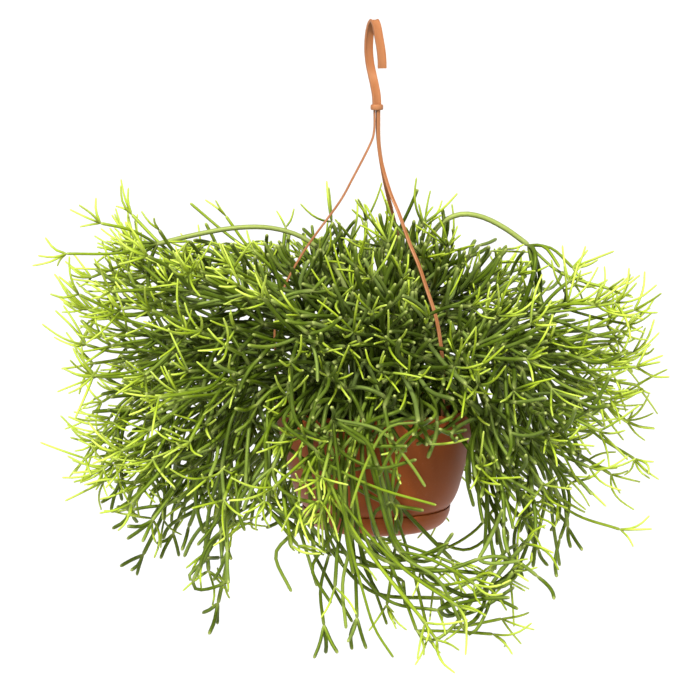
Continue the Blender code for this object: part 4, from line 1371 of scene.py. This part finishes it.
def stem_skin(name, shift):
    """Fleshy green skin: dull and dark on old stems, yellow-green on young ones, pale at joints and tips.
    Stems deep inside the foliage are given as older and darker, partly a painted shade.
    """
    skin = Finish(name, specular_ior_level=0.32, specular_tint=(0.8, 1.0, 0.2))
    age, pale, tone = (skin.attribute(key) for key in ("age", "pale", "tone"))
    patches = skin.grain(55.0, 3.0)
    fine = skin.grain(420.0, 2.0)
    ripe = age + (patches - 0.5) * 0.2 + (tone - 0.5) * 0.24 + shift
    green = skin.ramp(ripe, STEM_GREENS)
    bloom = patches.over(0.42, 0.7) * 0.1 + tone.over(0.6, 1.0) * 0.24
    green = skin.mixed(bloom * (1.0 - age.over(0.4, 0.9)), green, GREY_BLOOM)
    # Pale lightens joints and tips, their own colour, and arching stems all along as a painted sheen
    green = skin.mixed(pale * 0.5, green, PALE_JOINT)
    green = skin.mixed(1.0, green, skin.grey(0.86 + fine * 0.28), "MULTIPLY")
    return skin.done(green, 0.34 + patches * 0.2, fine * 0.6 + patches * 0.4, 0.25 * MM, 0.3)


def pot_plastic(name, base):
    """Moulded plastic: one even colour with faint flow marks, a little dust and a fine satin grain."""
    plastic = Finish(name, specular_ior_level=0.3, specular_tint=(1.0, 0.55, 0.35))
    flow = plastic.grain(26.0, 4.0, (1.0, 1.0, 2.6))
    dust = plastic.grain(9.0, 5.0, rough=0.62)
    speck = plastic.grain(700.0, 1.0)
    colour = plastic.mixed(flow.over(0.3, 0.8) * 0.5, base, tuple(v * FLOW_SHADE for v in base))
    colour = plastic.mixed(dust.over(0.52, 0.78) * 0.16, colour, DUST)
    colour = plastic.mixed(speck.over(0.62, 0.74) * 0.12, colour, SPECKS)
    return plastic.done(colour, 0.36 + dust * 0.16 + speck * 0.05, speck * 0.5 + flow * 0.5, 0.08 * MM, 0.25)


def hanger_plastic(name):
    """Pale orange plastic with long flow streaks and darker clouds."""
    plastic = Finish(name, specular_ior_level=0.35, specular_tint=(1.0, 0.7, 0.5))
    streak = plastic.grain(160.0, 3.0, (1.0, 1.0, 0.12))
    cloud = plastic.grain(30.0, 3.0)
    colour = plastic.mixed(streak.over(0.32, 0.72), *HANGER_COLOURS)
    colour = plastic.mixed(cloud.over(0.45, 0.75) * 0.4, colour, HANGER_CLOUD)
    return plastic.done(colour, 0.34 + streak * 0.12, streak, 0.06 * MM, 0.3)


def peat(name):
    """Dark damp soil with brown fibre and a few pale grains."""
    soil = Finish(name)
    clods = soil.grain(140.0, 5.0, rough=0.65)
    fibre = soil.grain(900.0, 2.0)
    colour = soil.ramp(clods, SOIL_BROWNS)
    colour = soil.mixed(fibre.over(0.66, 0.72) * 0.7, colour, FIBRE)
    return soil.done(colour, 0.86 + fibre * 0.12, clods * 0.7 + fibre * 0.3, 0.8 * MM, 0.8)


# Turned plastic


def built(name, shape):
    """An object that shows a finished shape."""
    mesh = bpy.data.meshes.new(name)
    shape.to_mesh(mesh)
    shape.free()
    return placed(name, mesh)


def revolved(name, profile, steps=STEPS):
    """Turns a closed profile of (radius, height) in millimetres round the pot's axis."""
    shape = bmesh.new()
    turns = [math.tau * i / steps for i in range(steps)]
    ways = [(round(math.cos(turn), 9), round(math.sin(turn), 9)) for turn in turns]
    rings = []
    for radius, height in profile:
        if radius == 0:
            rings.append([shape.verts.new((0.0, 0.0, height * MM))] * steps)
            continue
        out = radius * MM
        rings.append([shape.verts.new((out * x, out * y, height * MM)) for x, y in ways])
    if profile[0][0] > 0:
        rings.append(rings[0])
    for first, second in zip(rings, rings[1:]):
        for i in range(steps):
            j = (i + 1) % steps
            corners = dict.fromkeys((first[i], first[j], second[j], second[i]))
            shape.faces.new(corners)
    bmesh.ops.recalc_face_normals(shape, faces=shape.faces)
    return built(name, shape)


def rounded(centre, radius, first, last, parts):
    """Points of an arc of (radius, height), from one angle in degrees to another."""
    angles = [math.radians(first + (last - first) * i / parts) for i in range(parts + 1)]
    return [(centre[0] + radius * math.cos(a), centre[1] + radius * math.sin(a)) for a in angles]


def smoothed(profile, parts=CURVE_PARTS):
    """A smooth profile through the given points of (radius, height)."""
    return [tuple(p) for p in smooth_line([Vector(p) for p in profile], parts)]


def block(name, low, high, turn, bevel=0.0):
    """A box between two corners in millimetres, its edges eased, turned about the pot's axis."""
    shape = bmesh.new()
    bmesh.ops.create_cube(shape, size=1.0)
    size = [(b - a) * MM for a, b in zip(low, high)]
    bmesh.ops.scale(shape, vec=size, verts=shape.verts)
    bmesh.ops.translate(shape, vec=[(a + b) / 2 * MM for a, b in zip(low, high)], verts=shape.verts)
    if bevel:
        edges = shape.edges[:]
        bmesh.ops.bevel(shape, geom=edges, offset=bevel * MM, segments=2, profile=0.5, affect="EDGES")
    turned = Matrix.Rotation(math.radians(turn), 3, "Z")
    bmesh.ops.rotate(shape, cent=(0, 0, 0), matrix=turned, verts=shape.verts)
    return built(name, shape)


def drilled(name, radius, bottom, top, place):
    """A round peg to drill a hole with, all in millimetres."""
    shape = bmesh.new()
    at = Matrix.Translation((place[0] * MM, place[1] * MM, (bottom + top) / 2 * MM))
    bmesh.ops.create_cone(
        shape, cap_ends=True, segments=24, radius1=radius * MM, radius2=radius * MM,
        depth=(top - bottom) * MM, matrix=at,
    )
    return built(name, shape)


def shaped(piece, steps, finish, crease=32.0):
    """The piece with each (operation, tool) applied, smooth but for its edges, moved into the frame."""
    for operation, tool in steps:
        step = piece.modifiers.new(operation, "BOOLEAN")
        step.operation = operation
        step.object = tool
    bpy.context.view_layer.update()
    mesh = bpy.data.meshes.new_from_object(piece.evaluated_get(bpy.context.evaluated_depsgraph_get()))
    mesh.transform(Matrix.Translation(-SADDLE))
    mesh.shade_smooth()
    mesh.set_sharp_from_angle(angle=math.radians(crease))
    name = piece.name
    for spare in [piece, *(tool for _, tool in steps)]:
        bpy.data.objects.remove(spare)
    return placed(name, mesh, finish)


def make_pot(finish):
    """The bowl with its rounded rim, lugs inside it, a beaded foot ring and drain holes in its floor."""
    outside = smoothed([*POT_OUTSIDE[1:], *POT_TURN])
    turn_in, turn_up = TURN_WALL
    wall = [(r - POT_WALL, z) for r, z in POT_OUTSIDE[1:]]
    inside = smoothed(wall + [(r - turn_in, z + turn_up) for r, z in POT_TURN])
    lip = rounded(*POT_LIP, 180, 0, 8)
    ring_in, ring_out = FOOT_RING
    bead = ring_out + BEAD_OUT
    first, second, last = POT_BEAD
    profile = [(0.0, inside[-1][1]), *inside[::-1], *lip, *outside]
    profile += [(ring_out + FOOT_FILLET, FLOOR_UNDER + 0.1), (ring_out, FLOOR_UNDER - FOOT_FILLET)]
    profile += [(ring_out, FOOT_Z + last), (bead, FOOT_Z + second), (bead, FOOT_Z + first)]
    profile += [(ring_out, FOOT_Z), (ring_in, FOOT_Z), (ring_in, FLOOR_UNDER), (0.0, FLOOR_UNDER)]
    pot = revolved("pot_shell", profile)
    steps = []
    inner, outer, width, low, high = LUG
    for turn in STRAP_TURNS.values():
        lug = block("lug", (inner, -width / 2, low), (outer, width / 2, high), turn, LUG_EASE)
        steps.append(("UNION", lug))
    near, far, wide = LUG_SLOT
    for turn in STRAP_TURNS.values():
        slot = block("slot", (near, -wide / 2, low - 2), (far, wide / 2, high + 2), turn)
        steps.append(("DIFFERENCE", slot))
    for i in range(DRAINS):
        angle = math.tau * i / DRAINS
        place = (DRAIN_CIRCLE * math.cos(angle), DRAIN_CIRCLE * math.sin(angle))
        drain = drilled("drain", DRAIN_RADIUS, FLOOR_UNDER - 1, FLOOR_UNDER + 4, place)
        steps.append(("DIFFERENCE", drain))
    return shaped(pot, steps, finish)


def make_saucer(finish):
    """The shallow saucer, with a beaded ring on its floor that clips over the pot's foot ring."""
    ring_in, ring_out = CLIP_RING
    bead = ring_in - BEAD_OUT
    first, second, last = SAUCER_BEAD
    floor = SAUCER_INSIDE[0][1]
    profile = [(0.0, floor), (ring_in, floor), (ring_in, CLIP_TOP - last), (bead, CLIP_TOP - second)]
    profile += [(bead, CLIP_TOP - first), (ring_in, CLIP_TOP), (ring_out, CLIP_TOP), (ring_out, floor)]
    profile += smoothed([(r + SAUCER_EASE, z) for r, z in SAUCER_INSIDE])[:-1]
    profile += rounded(*SAUCER_LIP, 180, 0, 6)
    profile += smoothed(SAUCER_OUTSIDE, 5)[1:]
    profile += [(0.0, SAUCER_OUTSIDE[-1][1])]
    return shaped(revolved("saucer_shell", profile), [], finish)


def soil_height(x, y):
    """The soil's top at a place in millimetres: mounded in the middle, lumpy all over."""
    lumps = noise.fractal(Vector((x * LUMPS_TO_MM, y * LUMPS_TO_MM, LUMP_SLICE)), 1.0, 2.0, 4)
    return between(SOIL_TOP, math.hypot(x, y)) + lumps * LUMP_HEIGHT


def make_soil(finish):
    """Lumpy soil with loose crumbs strewn on it."""
    edge = SOIL_EDGE[0][0]
    rings = [(r, 0.0) for r in range(0, math.floor(edge), SOIL_RINGS)] + SOIL_EDGE
    heap = revolved("soil_top", rings, SOIL_STEPS)
    for vertex in heap.data.vertices:
        if vertex.co.z > -1 * MM:
            vertex.co.z = soil_height(vertex.co.x / MM, vertex.co.y / MM) * MM
    heap.data.transform(Matrix.Translation(-SADDLE))
    return placed("soil_top", strewn_crumbs(finish).run(heap), finish)


def strewn_crumbs(finish):
    """Strews crumbs of mixed sizes over what faces up."""
    tree = Tree("strewn_crumbs")
    spacing = tree.named("spacing", "Float", CRUMB_SPACING)
    size = tree.named("crumb_size", "Float", CRUMB_SIZE)
    ground = tree.start.outputs["Geometry"]
    up = tree.made("GeometryNodeInputNormal")
    rise = tree.node("ShaderNodeSeparateXYZ", inputs={0: up}).outputs[2]
    faces_up = tree.made("FunctionNodeCompare", {"operation": "GREATER_THAN"}, {"A": rise, "B": 0.5})
    strewing = {"Mesh": ground, "Selection": faces_up, "Distance Min": spacing, "Seed": CRUMB_SEED}
    strewing["Density Max"] = CRUMBS_TO_M2
    spots = tree.made("GeometryNodeDistributePointsOnFaces", {"distribute_method": "POISSON"}, strewing)
    crumb = tree.made("GeometryNodeMeshIcoSphere", inputs={"Radius": size, "Subdivisions": 1})
    turn, grade = (
        tree.made("FunctionNodeRandomValue", {"data_type": "FLOAT_VECTOR"}, {0: least, 1: most, "Seed": seed})
        for least, most, seed in (CRUMB_TURNS, CRUMB_GRADES)
    )
    strewn = tree.made(
        "GeometryNodeInstanceOnPoints",
        inputs={"Points": spots, "Instance": crumb, "Rotation": turn, "Scale": grade},
    )
    tree.close(tree.joined(strewn, ground), finish)
    return tree


# Hook and straps


def strip(name, line, section, facing):
    """Sweeps a section of (across, out) along a line of (out, up) in an upright plane, its ends eased."""
    shape = bmesh.new()
    rings = []
    rows = [(line[0], line[0] - line[1]), *((point, None) for point in line), (line[-1], line[-1] - line[-2])]
    for i, (point, beyond) in enumerate(rows):
        j = min(max(i - 1, 0), len(line) - 1)
        along = (line[min(j + 1, len(line) - 1)] - line[max(j - 1, 0)]).normalized()
        across = Vector((-along.y, along.x))
        ease = 0.0
        if beyond is not None:
            point = point + beyond.normalized() * CAP_BEYOND * MM
            ease = CAP_EASE
        ring = []
        for side, out in section:
            spot = point + across * (out - math.copysign(ease, out)) * MM
            ring.append(shape.verts.new((spot.x, (side - math.copysign(ease, side)) * MM, spot.y)))
        rings.append(ring)
    for first, second in zip(rings, rings[1:]):
        for i in range(len(section)):
            j = (i + 1) % len(section)
            shape.faces.new((first[i], first[j], second[j], second[i]))
    shape.faces.new(rings[0][::-1])
    shape.faces.new(rings[-1])
    bmesh.ops.recalc_face_normals(shape, faces=shape.faces)
    made = built(name, shape)
    made.data.transform(facing)
    return made


def rail_section():
    """The hook's section: a thin web with a rail along each edge, its corners eased."""
    step = HOOK_HALF - RAIL_WIDTH
    corner = [(HOOK_HALF - a, RAIL_HALF - b) for a, b in RAIL_OUTER]
    corner += [(step - a, RAIL_HALF - b) for a, b in RAIL_INNER]
    corner += [(step - a, WEB_HALF + b) for a, b in WEB_CORNER]
    upper = corner + [(-a, b) for a, b in corner[::-1]]
    return upper + [(-a, -b) for a, b in upper]


def make_hook(finish):
    """The railed hook with the oval ledge at its foot, whose socket holds the straps."""
    line = [point * MM for point in smooth_line([Vector(p) for p in HOOK_LINE], HOOK_PARTS)]
    facing = Matrix.Translation(SADDLE) @ Matrix.Rotation(HOOK_TURN, 4, "Z")
    hook = strip("hanger_hook", line, rail_section(), facing)
    long, deep = LEDGE_HALF
    ledge = revolved("ledge", [(share / MM, z) for share, z in LEDGE_SIDE], LEDGE_STEPS)
    lifted = Matrix.Translation((0, 0, SADDLE.z + LEDGE_Z * MM))
    turned = Matrix.Rotation(HOOK_TURN + math.pi / 2, 4, "Z")
    ledge.data.transform(lifted @ turned @ Matrix.Diagonal((long * MM, deep * MM, 1.0, 1.0)))
    under = SADDLE.z / MM + LEDGE_Z
    socket = drilled("socket", SOCKET_RADIUS, under - 1, under + SOCKET_DEPTH, (0, 0))
    return shaped(hook, [("UNION", ledge), ("DIFFERENCE", socket)], finish)


def make_strap(name, finish):
    """A flat strap with eased edges, from the ledge's socket down through its lug to its toe."""
    line = strap_line(name, STRAP_PARTS)
    head = Vector((STRAP_IN * MM, SADDLE.z + (LEDGE_Z + SOCKET_DEPTH - STRAP_GAP) * MM))
    foot = Vector((line[-1].x, STRAP_FOOT))
    wide, thick = STRAP_HALF
    ease = STRAP_EASE
    section = [(wide, thick - ease), (wide - ease, thick), (-wide + ease, thick), (-wide, thick - ease)]
    section += [(-a, -b) for a, b in section]
    facing = Matrix.Rotation(math.radians(STRAP_TURNS[name]), 4, "Z")
    piece = strip("hanger_strap_" + name, [head, *line, foot], section, facing)
    inwards, outside, up = TOE
    low = (foot.x / MM - thick - inwards, -wide, STRAP_FOOT / MM + up)
    high = (foot.x / MM + thick - outside, wide, LUG[3] - STRAP_GAP)
    toe = block("toe", low, high, STRAP_TURNS[name], TOE_EASE)
    return shaped(piece, [("UNION", toe)], finish)


def dress(piece, nodes):
    """Shows a piece in the place of its nodes, which it hides, and hangs it on the root body."""
    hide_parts(*nodes)
    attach(piece, "root")


# The plant

skins = {f"stem_green_{i}": stem_skin(f"stem_skin_{i}", shift) for i, shift in enumerate(STEM_SHIFTS)}
sweeps = {slot: stem_sweep(skin) for slot, skin in skins.items()}
room = Room()
stems = plant(SEED, room)
thicket = Thicket(THICKET_SEED, room, stems)
thicket.trails()
thicket.draw.seed(INFILL_SEED)
thicket.fringe()
thicket.new_cuttings()
thicket.stubs()
thicket.whorls()
thicket.ripen()
for number, (name, shoots) in enumerate(stems.items()):
    node = "spray_" + name
    slot = SLOT_OF[node]
    dress(stem_piece("stems_" + name, shoots, sweeps[slot], STEM_SEED + number), [node])

# Pot, saucer, soil and hanger

terracotta = pot_plastic("terracotta_plastic", POT_COLOUR)
orange = hanger_plastic("pale_orange_plastic")
dress(make_pot(terracotta), ["pot"])
dress(make_saucer(pot_plastic("saucer_plastic", SAUCER_COLOUR)), ["saucer"])
dress(make_soil(peat("potting_soil")), ["soil"])
dress(make_hook(orange), ["hook"])
for name in BOWS:
    dress(make_strap(name, orange), ["strap_" + name])

# Floor, light and camera

FLOOR_Z = -1.7
FLOOR_HALF = 400.0
FLOOR_GREYS = ((0.57, 0.57, 0.57), (0.59, 0.59, 0.59))
# Each sun's way, strength and softness, and how bright the sky is by its height, white low down
SUNS = {"key": ((-0.25, -0.85, 1.0), 7.0, 9.0), "fill": ((0.8, -0.7, 0.35), 1.3, 50.0)}
SKY = [(0.14, (1.0, 1.0, 1.0)), (0.27, (0.17, 0.17, 0.17))]


def sunlight(name, way, strength, softness):
    """Light from far off, which comes from a way and is as soft as the degrees that its source spans."""
    lamp = bpy.data.lights.new(name, "SUN")
    lamp.energy = strength
    lamp.angle = math.radians(softness)
    made = bpy.data.objects.new(name, lamp)
    bpy.context.scene.collection.objects.link(made)
    made.rotation_euler = Vector(way).to_track_quat("Z", "Y").to_euler()


floor_paint = Finish("studio_floor")
floor_paint.done(floor_paint.mixed(floor_paint.grain(1.5), *FLOOR_GREYS), 0.9)
floor_mesh = bpy.data.meshes.new("floor")
corners = [(x * FLOOR_HALF, y * FLOOR_HALF, FLOOR_Z) for x, y in ((-1, -1), (1, -1), (1, 1), (-1, 1))]
floor_mesh.from_pydata(corners, [], [(0, 1, 2, 3)])
placed("floor", floor_mesh, floor_paint.material)

for name, sun in SUNS.items():
    sunlight(name, *sun)

scene = bpy.context.scene
world = bpy.data.worlds.new("studio")
world.use_nodes = True
sky = Nodes(world.node_tree)
way = sky.node("ShaderNodeTexCoord").outputs["Generated"]
height = sky.node("ShaderNodeSeparateXYZ", inputs={0: way}).outputs["Z"]
shade = sky.made("ShaderNodeValToRGB", {"stops": SKY}, {0: height})
sky.feed(world.node_tree.nodes["Background"].inputs["Color"], shade)
scene.world = world
scene.view_settings.view_transform = "Standard"

lens = bpy.data.cameras.new("camera")
camera = bpy.data.objects.new("camera", lens)
scene.collection.objects.link(camera)
lens.sensor_width = SENSOR_WIDTH
lens.lens = SENSOR_WIDTH * (EYE - VIEW_MIDDLE).length / VIEW_WIDTH
camera.location = EYE - SADDLE
camera.rotation_euler = (EYE - VIEW_MIDDLE).to_track_quat("Z", "Y").to_euler()
scene.camera = camera
